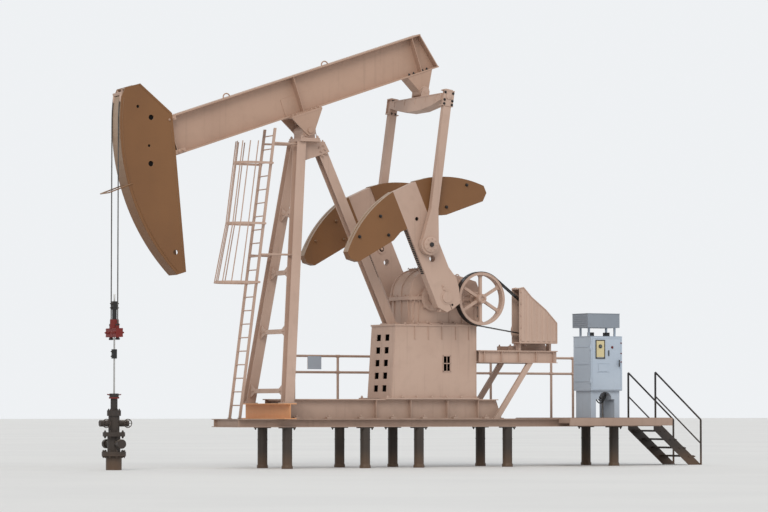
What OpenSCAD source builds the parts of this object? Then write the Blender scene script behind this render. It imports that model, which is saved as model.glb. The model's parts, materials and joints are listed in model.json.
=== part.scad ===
// Beam pumping unit (pumpjack) with its pile-borne steel frame, control cabinet and stair.
// Origin: centre of the well at ground level. +X runs along the beam to its tail, +Z is up.
// "Near" parts lie on the -Y side, "far" parts on the +Y side.

/* [Linkage] */
// Saddle bearing to the face of the horsehead
beam_reach = 4600; // [4400:10:4800]
// Saddle bearing to the tail bearing
beam_tail = 3150; // [3100:10:3200]
// Height of the saddle bearing over the ground
saddle_height = 7480; // [7400:10:7560]
// Crankshaft behind the saddle bearing
shaft_back = 3000; // [2960:10:3040]
// Height of the crankshaft over the ground
shaft_height = 3800; // [3780:10:3840]
// Crankshaft to wrist pin
crank_radius = 1270; // [1200:10:1300]
// How much shorter the pitmans are than the rise from crankshaft to saddle
pitman_drop = 97; // [80:1:120]
// Slope of the beam, tail up
beam_tilt = 19; // [17:0.5:20]

/* [Beam and horsehead] */
// Depth of the walking beam
beam_depth = 850; // [700:10:860]
// Width of the beam's flanges
beam_width = 360; // [300:10:370]
// Saddle bearing to the underside of the beam
beam_rise = 415; // [400:5:440]
// Half the arc of the horsehead, in degrees
head_arc = 26.5; // [26:0.5:28]
// Width over the horsehead's side plates
head_width = 430; // [400:10:460]
// Diameter of the wirelines
wire_d = 28; // [20:1:32]
// Distance between the two wirelines
wire_gap = 340; // [300:10:360]

/* [Cranks and pitmans] */
// Outer faces of the two cranks, apart
crank_span = 2300; // [2280:10:2460]
// Thickness of a crank
crank_thick = 200; // [160:10:220]
// Half the width of a crank
crank_half_w = 310; // [280:10:330]
// Radius of the circle that the crank ends and weights reach
sweep_r = 2700; // [2600:10:2700]
// Thickness of a counterweight
weight_thick = 220; // [200:10:400]
// Width of a pitman bar
pitman_w = 180; // [160:10:220]
// Thickness of a pitman bar
pitman_thick = 130; // [120:10:160]

/* [Post, pedestal and frames] */
// Size of the post's steel section
leg_size = 220; // [200:10:240]
// Distance of each front leg's foot from the centre line
foot_spread = 940; // [880:10:1000]
// Height of the pile frame's top over the ground
deck_z = 1090; // [1080:5:1100]
// Depth of the pile frame's beams
deck_depth = 180; // [160:10:200]
// Depth of the unit's own base beams
base_depth = 440; // [400:10:460]
// Crankshaft over the top of the pedestal
gearbox_rise = 590; // [570:10:620]
// Width of the pedestal
pedestal_w = 1100; // [1000:20:1120]
// Diameter of the piles
pile_d = 220; // [180:10:240]

/* [Drive] */
// Diameter of the belt sheave
sheave_d = 1200; // [1100:20:1200]
// Diameter of the motor pulley
pulley_d = 320; // [280:10:340]
// Width of the drive belt
belt_w = 160; // [120:10:170]
// Thickness of the belt guard
guard_thick = 320; // [300:10:320]

/* [Well] */
// Height of the carrier bar's underside over the ground
carrier_z = 2850; // [2600:10:2900]
// Height of the polished rod's top over the ground
rod_top = 3780; // [3740:10:3820]
// Diameter of the polished rod
rod_d = 38; // [32:1:44]
// Height of the stuffing box's foot over the ground
well_top = 1160; // [1100:10:1200]

/* [Access] */
// Width between the ladder's rails
ladder_w = 500; // [450:10:520]
// Spacing of ladder rungs
rung_pitch = 300; // [250:10:320]
// Height of the far guard rail over the pile frame
guard_rail_h = 1430; // [1100:10:1450]
// Width of the stair
stair_w = 1100; // [900:20:1150]
// Number of stair treads
tread_count = 4; // [4:1:5]

/* [Hidden] */
$fn = 48;

// Colours
beige = [0.74, 0.62, 0.53];
brown = [0.47, 0.34, 0.21];
black = [0.06, 0.06, 0.07];
grey = [0.55, 0.56, 0.56];
pale = [0.83, 0.86, 0.89];
orange = [0.80, 0.42, 0.20];
red = [0.60, 0.13, 0.12];

// Linkage at rest, solved from the four lengths
shaft_x = beam_reach + shaft_back;
tail_x = beam_reach + beam_tail * cos(beam_tilt);
tail_z = saddle_height + beam_tail * sin(beam_tilt);
pitman_length = saddle_height - shaft_height - pitman_drop;
tail_dist = norm([tail_x - shaft_x, tail_z - shaft_height]);
tail_lean = atan2(shaft_x - tail_x, tail_z - shaft_height);
crank_lean = tail_lean + acos((crank_radius * crank_radius + tail_dist * tail_dist
    - pitman_length * pitman_length) / (2 * crank_radius * tail_dist));
wrist_x = shaft_x - crank_radius * sin(crank_lean);
wrist_z = shaft_height + crank_radius * cos(crank_lean);
pitman_lean = atan2(tail_x - wrist_x, tail_z - wrist_z);

// Bearings
shaft_r = 130;
saddle_shaft_r = 60;
tail_shaft_r = 55;
run_gap = 1;
fit_gap = 0.5;
seat_gap = 0.3;

// Horsehead
head_plate = 16;
head_face_r = beam_reach - wire_d / 2 - seat_gap;
head_top_angle = 26;
head_inner = head_width / 2 - head_plate;
head_back = beam_reach - 650;
keeper_reach = 480;
keeper_rise = 140;

// Carrier
carrier_collar_h = 190;
carrier_socket_h = 350;

// Cranks
crank_out = crank_span / 2;
weight_in = crank_out - weight_thick;
wrist_boss_t = 15;
pitman_in = crank_out + 2 * wrist_boss_t;
wrist_boss_r = 225;

// Post
post_top = saddle_height - 245;
leg_top_x = beam_reach - 190;
leg_top_y = 20 + leg_size / 2;
leg_foot_x = beam_reach - 900;
foot_z = deck_z + 340;
leg_flange = 20;
leg_web = 14;
cheek_y = leg_size / 2 + seat_gap;
brace_heights = [for (i = [0:3]) foot_z + 276 + 1305 * i];

// Frames
frame_front = beam_reach - 1930;
frame_rear = shaft_x + 6000;
frame_beam_y = 600;
frame_flange = 220;
base_z = deck_z + base_depth;
base_beam_y = 480;
base_rear = shaft_x + 1800;
deck_front = shaft_x + 3200;
deck_half = 1200;
pile_x = [beam_reach - 730, beam_reach + 1210, shaft_x - 420, shaft_x + 1890,
    frame_rear - 1230];
cap_t = 25;

// Pedestal and drive
pedestal_z = shaft_height - gearbox_rise;
ped_front = shaft_x - 990;
ped_foot_front = shaft_x - 1100;
ped_rear = shaft_x + 1100;
ped_base_t = 30;
plate_t = 20;
ped_hole = [200, 145];
ped_hole_y = 195;
gear_front = shaft_x - 530;
gear_rear = shaft_x + 1270;
gear_half = 450;
dome_r = 600;
dome_shift = 60;
dome_rim = 25;
sheave_x = shaft_x + 1130;
sheave_y = -680;
platform_top = pedestal_z - 570;
platform_depth = 280;
platform_rear = shaft_x + 3180;
motor_x = shaft_x + 2795;
motor_z = platform_top + 470;
motor_foot = 110;
guard_near = -850;
rotor_shaft_r = 50;
motor_shaft_r = 30;
belt_gap = 1;

// Cabinet
cab_x = [shaft_x + 4280, shaft_x + 5150];
cab_half = 360;
cab_z = [deck_z + 645, deck_z + 1900];
door_t = 30;
hinge_x = cab_x[0] - 6;
hinge_y = -cab_half - 16;
hinge_r = 12;
hinge_pin_r = 6;
hinge_h = 80;
hinge_z = [cab_z[0] + 200, cab_z[1] - 280];

// Ladder
ladder_foot = [beam_reach - 1716, 0, deck_z];
ladder_slope = 7.6;
ladder_top = saddle_height + 20;
ladder_len = (ladder_top - deck_z) / cos(ladder_slope);
rail_w = 60;
rail_t = 30;
cage_depth = 760;
cage_half = 350;
cage_flare = 60;
cage_flare_depth = 100;
cage_rings = [ladder_len - 3447, ladder_len - 2137, ladder_len - 787];
cage_bar_r = 14;
standoff_heights = [deck_z + 3610, post_top - 60];
standoff_r = 22;

// Stair
stair_y = 130;
stair_run = 1180;
stair_top = deck_z - 100;
stair_plate = 12;

module steel_i(h, b, tf, tw) {
    polygon([
        [-b / 2, -h / 2], [b / 2, -h / 2], [b / 2, -h / 2 + tf], [tw / 2, -h / 2 + tf],
        [tw / 2, h / 2 - tf], [b / 2, h / 2 - tf], [b / 2, h / 2], [-b / 2, h / 2],
        [-b / 2, h / 2 - tf], [-tw / 2, h / 2 - tf], [-tw / 2, -h / 2 + tf], [-b / 2, -h / 2 + tf]
    ]);
}

// An I-beam along X; its depth is up
module beam_x(x0, x1, y, z_top, h, b, tf, tw) {
    translate([x0, y, z_top - h / 2])
        rotate([90, 0, 90])
            linear_extrude(x1 - x0)
                steel_i(h, b, tf, tw);
}

// An I-beam along Y; its depth is up
module beam_y(x, y0, y1, z_top, h, b, tf, tw) {
    translate([x, y1, z_top - h / 2])
        rotate([90, 0, 0])
            linear_extrude(y1 - y0)
                steel_i(h, b, tf, tw);
}

// Turns +Z to point from a to b, with the section kept square to X and Y
module between(a, b) {
    d = b - a;
    translate(a)
        rotate([-asin(d[1] / norm(d)), atan2(d[0], d[2]), 0])
            children();
}

module rod(a, b, r, sides = 8) {
    between(a, b)
        cylinder(h = norm(b - a), r = r, $fn = sides);
}

module box(x, y, z) {
    translate([x[0], y[0], z[0]])
        cube([x[1] - x[0], y[1] - y[0], z[1] - z[0]]);
}

// A flat outline drawn in X and Z, made solid from y0 to y1
module side_plate(points, y0, y1) {
    translate([0, y1, 0])
        rotate([90, 0, 0])
            linear_extrude(y1 - y0)
                polygon(points);
}

module beam_frame() {
    translate([beam_reach, 0, saddle_height])
        rotate([0, -beam_tilt, 0])
            children();
}

module crank_frame() {
    translate([shaft_x, 0, shaft_height])
        rotate([0, -crank_lean, 0])
            children();
}

module pitman_frame() {
    translate([tail_x, 0, tail_z])
        rotate([0, pitman_lean, 0])
            children();
}

module y_cylinder(r, y0, y1) {
    translate([0, y1, 0])
        rotate([90, 0, 0])
            cylinder(h = y1 - y0, r = r);
}

module piles() {
    color(black)
        for (x = pile_x)
            for (y = [-frame_beam_y, frame_beam_y])
                translate([x, y, 0]) {
                    cylinder(h = deck_z - deck_depth - cap_t, d = pile_d);
                    translate([-160, -110, deck_z - deck_depth - cap_t])
                        cube([320, 220, cap_t]);
                }
}

module pile_frame() {
    cross_x = concat([frame_front + 60], pile_x, [deck_front + 100, frame_rear - 60]);
    color(beige) {
        for (y = [-frame_beam_y, frame_beam_y])
            beam_x(frame_front, frame_rear, y, deck_z, deck_depth, frame_flange, 16, 12);
        for (x = cross_x)
            beam_y(x, -frame_beam_y, frame_beam_y, deck_z, deck_depth, 100, 12, 8);
    }
}

module deck() {
    outer = frame_beam_y + frame_flange / 2;
    color(beige) {
        box([deck_front, frame_rear], [-deck_half, deck_half], [deck_z, deck_z + 12]);
        for (side = [-1, 1]) {
            edge = side > 0 ? [deck_half - 40, deck_half] : [-deck_half, -deck_half + 40];
            box([deck_front, frame_rear], edge, [deck_z - deck_depth + 20, deck_z]);
            for (x = [deck_front, deck_front + 920, deck_front + 1840, frame_rear - 40]) {
                arm = side > 0 ? [outer, deck_half - 40] : [-deck_half + 40, -outer];
                box([x, x + 40], arm, [deck_z - 100, deck_z]);
            }
        }
    }
}

module base_frame() {
    front = leg_foot_x + 170;
    color(beige)
        difference() {
            union() {
                for (y = [-base_beam_y, base_beam_y]) {
                    beam_x(front, base_rear, y, base_z, base_depth, 240, 22, 14);
                    for (x = [-510, 370, 1320, 2120])
                        box([ped_front + x, ped_front + x + 15], [y - 115, y + 115],
                            [deck_z + 20, base_z - 20]);
                }
                for (x = [front + 120, beam_reach + 1200, ped_front, ped_rear, base_rear - 200])
                    beam_y(x, -base_beam_y, base_beam_y, base_z - 30, base_depth - 90,
                        160, 16, 10);
            }
            translate([base_rear - 60, -700, deck_z + 25])
                rotate([0, -20, 0])
                    translate([60, 0, -300])
                        cube([400, 1400, 1200]);
        }
}

module front_cross_beam() {
    color(orange)
        beam_y(leg_foot_x, -foot_spread - 150, foot_spread + 150, foot_z, foot_z - deck_z,
            300, 20, 14);
}

module pedestal() {
    half = pedestal_w / 2;
    foot_z0 = base_z;
    top0 = pedestal_z - 40;
    side = [[ped_foot_front, foot_z0 + 30], [ped_rear, foot_z0 + 30], [ped_rear, top0],
        [ped_front, top0]];
    color(beige) {
        difference() {
            side_plate(side, -half, half);
            side_plate([[ped_foot_front + plate_t, foot_z0 + 10],
                [ped_rear - plate_t, foot_z0 + 10], [ped_rear - plate_t, top0 + 10],
                [ped_front + plate_t, top0 + 10]], -half + plate_t, half - plate_t);
            for (row = [0:4])
                for (y = [-ped_hole_y, ped_hole_y])
                    translate([ped_foot_front, y, foot_z0 + 240 + row * 285])
                        cube([300, ped_hole[0], ped_hole[1]], center = true);
            translate([ped_front + 1320, 0, foot_z0 + 800])
                cube([170, 3 * half, 330], center = true);
        }
        box([ped_foot_front - 180, ped_rear + 30], [-half - 90, half + 90], [foot_z0, foot_z0 + 30]);
        difference() {
            box([ped_front - 20, ped_rear + 20], [-half - 20, half + 20], [top0, pedestal_z]);
            box([ped_front + 300, ped_rear - 300], [-300, 300], [top0 - 1, pedestal_z + 1]);
        }
        for (x = [490, 840, 1190, 1550, 1890])
            for (side_y = [[-half - 20, -half], [half, half + 20]])
                box([ped_front + x, ped_front + x + 15], side_y, [top0 - 300, top0]);
    }
}

module motor_platform() {
    front = ped_rear + 20;
    beam_top = platform_top - 12;
    color(beige) {
        for (y = [-640, 640])
            beam_x(front, platform_rear, y, beam_top, platform_depth - 12, 120, 14, 10);
        for (x = [front + 60, shaft_x + 2250, platform_rear - 60])
            beam_y(x, -640, 640, beam_top, platform_depth - 40, 100, 12, 8);
        box([front, platform_rear], [-700, 700], [beam_top, platform_top]);
        for (y = [-330, 150])
            box([motor_x - 695, motor_x + 305], [y - 50, y + 50],
                [platform_top, platform_top + motor_foot]);
    }
}

module platform_braces() {
    color(beige)
        for (y = [-640, 640])
            intersection() {
                between([base_rear - 80, y, 1300], [platform_rear - 620, y, 2500])
                    translate([0, 0, -400])
                        linear_extrude(2400)
                            square([120, 70], center = true);
                box([0, frame_rear], [-1000, 1000], [deck_z, platform_top - platform_depth]);
            }
}

// Foot, top and centre line of the front leg on one side (-1 near, 1 far)
function leg_foot(side) = [leg_foot_x, side * foot_spread, foot_z + 20];

function leg_top(side) = [leg_top_x, side * leg_top_y, post_top];

function leg_at(side, z) = leg_foot(side)
    + (leg_top(side) - leg_foot(side)) * (z - foot_z - 20) / (post_top - foot_z - 20);

// A section drawn in the leg's own frame, run past both its ends
module along_leg(side) {
    between(leg_foot(side), leg_top(side))
        translate([0, 0, -200])
            linear_extrude(norm(leg_top(side) - leg_foot(side)) + 400)
                children();
}

module front_legs() {
    color(beige)
        for (side = [-1, 1]) {
            intersection() {
                along_leg(side)
                    steel_i(leg_size, leg_size, leg_flange, leg_web);
                box([0, shaft_x], [-2 * foot_spread, 2 * foot_spread], [foot_z + 20, post_top]);
            }
            box([leg_foot_x - 150, leg_foot_x + 150], [side * foot_spread - 145,
                side * foot_spread + 145], [foot_z, foot_z + 20]);
        }
}

module back_leg() {
    top = [beam_reach + 305, 0, post_top];
    foot = [ped_front + 160, 0, pedestal_z];
    color(beige) {
        intersection() {
            between(foot, top)
                translate([0, 0, -300])
                    linear_extrude(norm(top - foot) + 600)
                        steel_i(leg_size, leg_size, leg_flange, leg_web);
            box([0, shaft_x], [-leg_size, leg_size], [pedestal_z + 20, post_top]);
        }
        box([ped_front, ped_front + 330], [-160, 160], [pedestal_z, pedestal_z + 20]);
    }
}

module leg_braces() {
    clear = leg_size / 2 + seat_gap;
    color(beige)
        for (z = brace_heights)
            difference() {
                box([leg_at(1, z)[0] - 55, leg_at(1, z)[0] + 55],
                    [-leg_at(1, z)[1] - 60, leg_at(1, z)[1] + 60], [z - 50, z + 50]);
                for (side = [-1, 1])
                    along_leg(side)
                        translate([-leg_size, side > 0 ? -clear : -leg_size])
                            square([2 * leg_size, leg_size + clear]);
            }
}

// Cap plate of the post, with cheeks that clasp the back leg behind the two front legs
module post_head() {
    cheek = [[-100, 0], [441, 0], [551, -197], [-120, -439]];
    points = [for (p = cheek) [beam_reach + p[0], post_top + p[1]]];
    grow = 2 * seat_gap;
    color(beige) {
        box([beam_reach - 250, beam_reach + 250], [-300, 300], [post_top, post_top + 40]);
        box([beam_reach + 240, beam_reach + 450], [-cheek_y - 18, cheek_y + 18],
            [post_top, post_top + 20]);
        difference() {
            union() {
                side_plate(points, -cheek_y - 18, -cheek_y);
                side_plate(points, cheek_y, cheek_y + 18);
            }
            for (side = [-1, 1])
                along_leg(side)
                    square([leg_size + grow, leg_size + grow], center = true);
        }
    }
}

module saddle_bearing() {
    color(beige)
        translate([beam_reach, 0, saddle_height])
            difference() {
                union() {
                    y_cylinder(165, -225, 225);
                    box([-150, 150], [-215, 215], [-180, 0]);
                    box([-235, 235], [-290, 290], [-205, -165]);
                }
                y_cylinder(saddle_shaft_r + run_gap, -400, 400);
            }
}

module on_ladder() {
    translate(ladder_foot)
        rotate([0, ladder_slope, 0])
            children();
}

module ladder() {
    color(beige)
        intersection() {
            on_ladder() {
                for (side = [-1, 1])
                    translate([0, side * ladder_w / 2, ladder_len / 2])
                        cube([rail_w, rail_t, ladder_len + 200], center = true);
                for (z = [rung_pitch:rung_pitch:ladder_len - 60])
                    translate([0, 0, z])
                        rotate([90, 0, 0])
                            cylinder(h = ladder_w, r = 14, center = true, $fn = 8);
            }
            box([0, shaft_x], [-ladder_w, ladder_w], [deck_z, ladder_top]);
        }
}

// Struts from the ladder's rails to the webs of the legs
module ladder_standoffs() {
    color(beige)
        for (z = standoff_heights)
            for (side = [-1, 1]) {
                on_rail = [ladder_foot[0] + (z - deck_z) * tan(ladder_slope),
                    side * ladder_w / 2, z];
                difference() {
                    rod(on_rail, leg_at(side, z), standoff_r);
                    along_leg(side)
                        translate([-leg_web / 2 - seat_gap, -leg_size])
                            square([leg_size, 2 * leg_size]);
                    on_ladder()
                        translate([-rail_w, -ladder_w, 0])
                            cube([1.5 * rail_w + seat_gap, 2 * ladder_w, ladder_len]);
                }
            }
}

// One hoop of the cage, level, with its open side at the ladder
module cage_hoop(half, depth) {
    strap = 12;
    ring_x = half - depth;
    rotate([0, -ladder_slope, 0])
        difference() {
            union() {
                translate([ring_x, 0, 0])
                    cylinder(h = 50, r = half, center = true, $fn = 24);
                translate([ring_x / 2, 0, 0])
                    cube([-ring_x, 2 * half, 50], center = true);
            }
            translate([ring_x, 0, 0])
                cylinder(h = 60, r = half - strap, center = true, $fn = 24);
            translate([ring_x / 2 + 20, 0, 0])
                cube([-ring_x + 40, 2 * (half - strap), 60], center = true);
        }
}

// Where the cage bar at the angle a meets a level hoop of this half width and depth
function bar_at(a, half, depth, z) = let (x = half - depth - (half - 8) * cos(a))
    [x, (half - 8) * sin(a), z + x * tan(ladder_slope)];

module ladder_cage() {
    low_half = cage_half + cage_flare;
    low_depth = cage_depth + cage_flare_depth;
    color(beige)
        intersection() {
            on_ladder()
                for (i = [0:2]) {
                    half = i == 0 ? low_half : cage_half;
                    stub = [ladder_w / 2 + rail_t / 2 + seat_gap, half - 4];
                    translate([0, 0, cage_rings[i]])
                        cage_hoop(half, i == 0 ? low_depth : cage_depth);
                    for (y = [stub, [-stub[1], -stub[0]]])
                        box([-22, 22], y, [cage_rings[i] - 20, cage_rings[i] + 20]);
                    for (a = [-90:30:90])
                        rod(bar_at(a, half, i == 0 ? low_depth : cage_depth,
                                cage_rings[i] - (i == 0 ? 25 : 0)),
                            bar_at(a, cage_half, cage_depth,
                                i < 2 ? cage_rings[i + 1] : ladder_len), cage_bar_r, 6);
                }
            box([0, shaft_x], [-1000, 1000], [deck_z, ladder_top - 300]);
        }
}

module gearbox_housing() {
    color(beige)
        difference() {
            union() {
                box([gear_front, gear_rear], [-gear_half, gear_half], [pedestal_z + 30, shaft_height]);
                box([gear_front - 50, gear_rear + 50], [-gear_half - 50, gear_half + 50],
                    [shaft_height - 40, shaft_height]);
                box([gear_front - 40, ped_rear], [-gear_half - 70, gear_half + 70],
                    [pedestal_z, pedestal_z + 30]);
            }
            gearbox_bores();
        }
}

module gearbox_bores() {
    translate([shaft_x, 0, shaft_height])
        y_cylinder(shaft_r + run_gap, -1000, 1000);
    translate([sheave_x, 0, shaft_height])
        y_cylinder(rotor_shaft_r + run_gap, -1000, 1000);
}

module gearbox_cover() {
    z = shaft_height;
    dome_x = shaft_x + dome_shift;
    rear = [[dome_x, z], [gear_rear, z], [gear_rear, z + 180], [gear_rear - 100, z + 400],
        [gear_rear - 420, z + 490], [dome_x, z + dome_shift + dome_r]];
    color(beige)
        difference() {
            union() {
                intersection() {
                    translate([dome_x, 0, z + dome_shift]) {
                        y_cylinder(dome_r, -gear_half + 20, gear_half - 20);
                        for (y = [-gear_half, -20, gear_half - 40])
                            y_cylinder(dome_r + dome_rim, y, y + 40);
                    }
                    box([gear_front - 50, dome_x + 1], [-gear_half, gear_half],
                        [z, z + dome_shift + dome_r + dome_rim]);
                }
                side_plate(rear, -gear_half + 20, gear_half - 20);
                box([gear_front - 50, gear_rear + 50], [-gear_half - 50, gear_half + 50],
                    [z, z + 40]);
            }
            gearbox_bores();
        }
}

module motor() {
    color(beige)
        translate([motor_x, 0, motor_z]) {
            y_cylinder(240, -420, 230);
            y_cylinder(motor_shaft_r, sheave_y - 80, -400);
            for (y = [-380, 100])
                box([-250, 250], [y, y + 100], [platform_top + motor_foot - motor_z, -100]);
            box([-120, 120], [-260, 60], [200, 330]);
        }
}

// The belt's outline around both wheels, grown by g, in the plane of X and Z
function belt_points(g) = let (
    span = norm([motor_x - sheave_x, motor_z - shaft_height]),
    r1 = sheave_d / 2 + g,
    r2 = pulley_d / 2 + g,
    lift = acos((r1 - r2) / span),
    turn = atan2(motor_z - shaft_height, motor_x - sheave_x)
) concat(
    [for (i = [0:40]) let (a = turn + lift + (360 - 2 * lift) * i / 40)
        [sheave_x + r1 * cos(a), shaft_height + r1 * sin(a)]],
    [for (i = [0:24]) let (a = turn - lift + 2 * lift * i / 24)
        [motor_x + r2 * cos(a), motor_z + r2 * sin(a)]]);

module drive_belt() {
    y0 = sheave_y - belt_w / 2;
    color(black)
        difference() {
            side_plate(belt_points(belt_gap + 15), y0, y0 + belt_w);
            side_plate(belt_points(belt_gap), y0 - 10, y0 + belt_w + 10);
        }
}

module belt_guard() {
    far = guard_near + guard_thick;
    outline = [[-725, 940], [-620, 960], [-405, 740], [-30, 460], [270, 160], [270, -300],
        [-725, -300]];
    hollow = [[-795, 910], [-630, 930], [-420, 718], [-43, 436], [250, 150], [250, -280],
        [-795, -280]];
    color(beige)
        translate([motor_x, 0, motor_z]) {
            difference() {
                side_plate(outline, guard_near, far);
                side_plate(hollow, guard_near + 10, far - 10);
                y_cylinder(2 * motor_shaft_r, far - 20, far + 20);
            }
            for (x = [-645, 165])
                box([x, x + 50], [-690, far - 20], [platform_top - motor_z, -295]);
        }
}

module guard_rail() {
    y = 1750;
    top = deck_z + guard_rail_h;
    posts = [beam_reach + 650, beam_reach + 1776, shaft_x + 800, shaft_x + 2857,
        shaft_x + 4530, shaft_x + 5140];
    color(beige) {
        for (x = posts) {
            arm_start = x > deck_front ? deck_half : frame_beam_y + frame_flange / 2;
            rod([x, y, deck_z - 120], [x, y, top], 30);
            box([x - 30, x + 30], [arm_start, y + 30], [deck_z - 150, deck_z - 100]);
        }
        for (z = [top, top - 370])
            rod([posts[0], y, z], [posts[5], y, z], 28);
        box([posts[0] + 330, posts[0] + 670], [y - 45, y - 20], [top - 300, top - 10]);
    }
}

module cabinet_body() {
    color(pale) {
        difference() {
            box(cab_x, [-cab_half, cab_half], cab_z);
            box([cab_x[0] + 20, cab_x[1] - 20], [-cab_half - 1, cab_half - 20],
                [cab_z[0] + 20, cab_z[1] - 20]);
        }
        for (x = [cab_x[0] + 60, cab_x[1] - 100])
            for (y = [-200, 160])
                box([x, x + 40], [y, y + 40], [cab_z[1], cab_z[1] + 230]);
        box([cab_x[0] - 60, cab_x[1] - 60], [-cab_half, cab_half - 60],
            [cab_z[1] + 220, cab_z[1] + 530]);
        for (z = hinge_z) {
            for (lug_z = [z - 32, z + hinge_h + 2]) {
                translate([hinge_x, hinge_y, lug_z])
                    cylinder(h = 30, r = hinge_r);
                box([hinge_x - 10, cab_x[0] + 6], [hinge_y, -cab_half + 10],
                    [lug_z, lug_z + 30]);
            }
            translate([hinge_x, hinge_y, z - 20])
                cylinder(h = hinge_h + 40, r = hinge_pin_r);
        }
    }
}

module cabinet_stand() {
    color(pale)
        difference() {
            box([cab_x[0] + 40, cab_x[1] - 40], [-cab_half + 40, cab_half - 40],
                [deck_z + 12, cab_z[0]]);
            box([cab_x[0] + 180, cab_x[1] - 180], [-cab_half, cab_half],
                [deck_z + 11, cab_z[0] - 200]);
            translate([(cab_x[0] + cab_x[1]) / 2, 0, cab_z[0] - 200])
                y_cylinder((cab_x[1] - cab_x[0]) / 2 - 260, -cab_half, cab_half);
        }
}

module cabinet_door() {
    color(pale) {
        box([cab_x[0] + 8, cab_x[1] - 8], [-cab_half - door_t, -cab_half - seat_gap],
            [cab_z[0] + 8, cab_z[1] - 8]);
        box([cab_x[1] - 120, cab_x[1] - 90], [-cab_half - door_t - 40, -cab_half - door_t],
            [cab_z[0] + 565, cab_z[0] + 705]);
        for (z = hinge_z)
            difference() {
                union() {
                    translate([hinge_x, hinge_y, z])
                        cylinder(h = hinge_h, r = hinge_r);
                    box([hinge_x, cab_x[0] + 12], [hinge_y - hinge_r, hinge_y],
                        [z, z + hinge_h]);
                }
                translate([hinge_x, hinge_y, z - 1])
                    cylinder(h = hinge_h + 2, r = hinge_pin_r + seat_gap);
            }
    }
}

module stair() {
    side = stair_w / 2;
    color(black) {
        for (y = [stair_y - side, stair_y + side - stair_plate])
            intersection() {
                translate([frame_rear, y, stair_top])
                    rotate([0, atan2(stair_top, stair_run), 0])
                        translate([-400, 0, -130])
                            cube([2600, stair_plate, 230]);
                box([frame_rear, frame_rear + 3000], [-3000, 3000], [0, deck_z]);
            }
        for (i = [1:tread_count])
            translate([frame_rear + stair_run * (i - 0.5) / (tread_count + 0.5),
                stair_y - side + 1, stair_top * (1 - i / (tread_count + 1)) - 15])
                cube([250, stair_w - 2, 30]);
    }
}

module stair_handrails() {
    color(black)
        for (y = [stair_y - stair_w / 2 - 24.2, stair_y + stair_w / 2 + 24.2]) {
            top = [frame_rear + 30, y, stair_top + 1180];
            low = [frame_rear + stair_run + 130, y, 1060];
            rod([top[0], y, deck_z - 150], top, 24);
            rod([low[0], y, 0], low, 24);
            rod(top, low, 22);
            rod([top[0], y, stair_top + 620], [low[0], y, 500], 18);
        }
}

module wellhead() {
    color(black) {
        cylinder(h = 320, r = 170);
        translate([0, 0, 300])
            cylinder(h = 90, r = 260);
        translate([0, 0, 390])
            cylinder(h = 330, r = 140);
        translate([0, 0, 720])
            cylinder(h = 90, r = 240);
        translate([0, 0, 810])
            cylinder(h = well_top - 810, r = 120);
        for (side = [-1, 1]) {
            rod([0, 0, 560], [0, side * 420, 560], 60, 24);
            rod([0, side * 330, 560], [0, side * 420, 560], 100, 24);
        }
        rod([-330, 0, 1000], [330, 0, 1000], 70, 24);
    }
}

module stuffing_box() {
    color(black)
        translate([0, 0, well_top])
            difference() {
                union() {
                    cylinder(h = 120, r = 150);
                    translate([0, 0, 120])
                        cylinder(h = 250, r = 75);
                    translate([0, 0, 370])
                        cylinder(h = 110, r = 100);
                }
                translate([0, 0, 40])
                    cylinder(h = 600, r = rod_d / 2 + seat_gap);
            }
}

module crankshaft() {
    color(grey)
        translate([shaft_x, 0, shaft_height])
            y_cylinder(shaft_r, -crank_out - 15, crank_out + 15);
}

module crank(y0, y1) {
    half = crank_half_w;
    outline = [[-half, -110], [-half, sweep_r - 30], [half, sweep_r - 30], [half, 600],
        [half + 85, 300], [half + 50, 60], [half - 60, -250], [60, -290], [-140, -300]];
    difference() {
        side_plate(outline, y0, y1);
        y_cylinder(shaft_r + fit_gap, y0 - 50, y1 + 50);
        translate([0, 0, crank_radius - 330])
            y_cylinder(75, y0 - 50, y1 + 50);
        translate([0, 0, crank_radius + 630])
            y_cylinder(45, y0 - 50, y1 + 50);
    }
    translate([0, 0, crank_radius])
        y_cylinder(120, y0 < 0 ? y0 - wrist_boss_t : y0 + 5, y0 < 0 ? y1 - 5 : y1 + wrist_boss_t);
}

module cranks() {
    color(beige)
        crank_frame() {
            crank(-crank_out, -crank_out + crank_thick);
            crank(crank_out - crank_thick, crank_out);
        }
}

// The half-lens weight on the side s of the crank, in the crank's own frame
module weight(s, y0, y1) {
    inner = crank_half_w + seat_gap;
    outline = [[inner, sweep_r - 910], [500, sweep_r - 910], [740, sweep_r - 1010],
        [1740, sweep_r - 1095], [1905, sweep_r - 960], [1905, sweep_r + 100],
        [inner, sweep_r + 100]];
    difference() {
        intersection() {
            y_cylinder(sweep_r, y0, y1);
            side_plate([for (p = outline) [s * p[0], p[1]]], y0, y1);
        }
        for (hole = [[830, -390], [1500, -600], [810, -850]])
            translate([s * hole[0], 0, sweep_r + hole[1]])
                y_cylinder(38, y0 - 10, y1 + 10);
    }
}

module counterweights() {
    color(brown)
        crank_frame()
            for (s = [-1, 1]) {
                weight(s, -crank_out, -weight_in);
                weight(s, weight_in, crank_out);
            }
}

module belt_sheave() {
    r = sheave_d / 2;
    color(beige)
        translate([sheave_x, 0, shaft_height]) {
            translate([0, sheave_y, 0]) {
                difference() {
                    y_cylinder(r, -85, 85);
                    y_cylinder(r - 60, -90, 90);
                }
                for (i = [0:5])
                    rotate([0, i * 60 + 30, 0])
                        box([100, r - 30], [-30, 30], [-32, 32]);
                y_cylinder(110, -90, 90);
            }
            y_cylinder(rotor_shaft_r, sheave_y, gear_half + 250);
            y_cylinder(260, gear_half + 110, gear_half + 250);
        }
}

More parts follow.
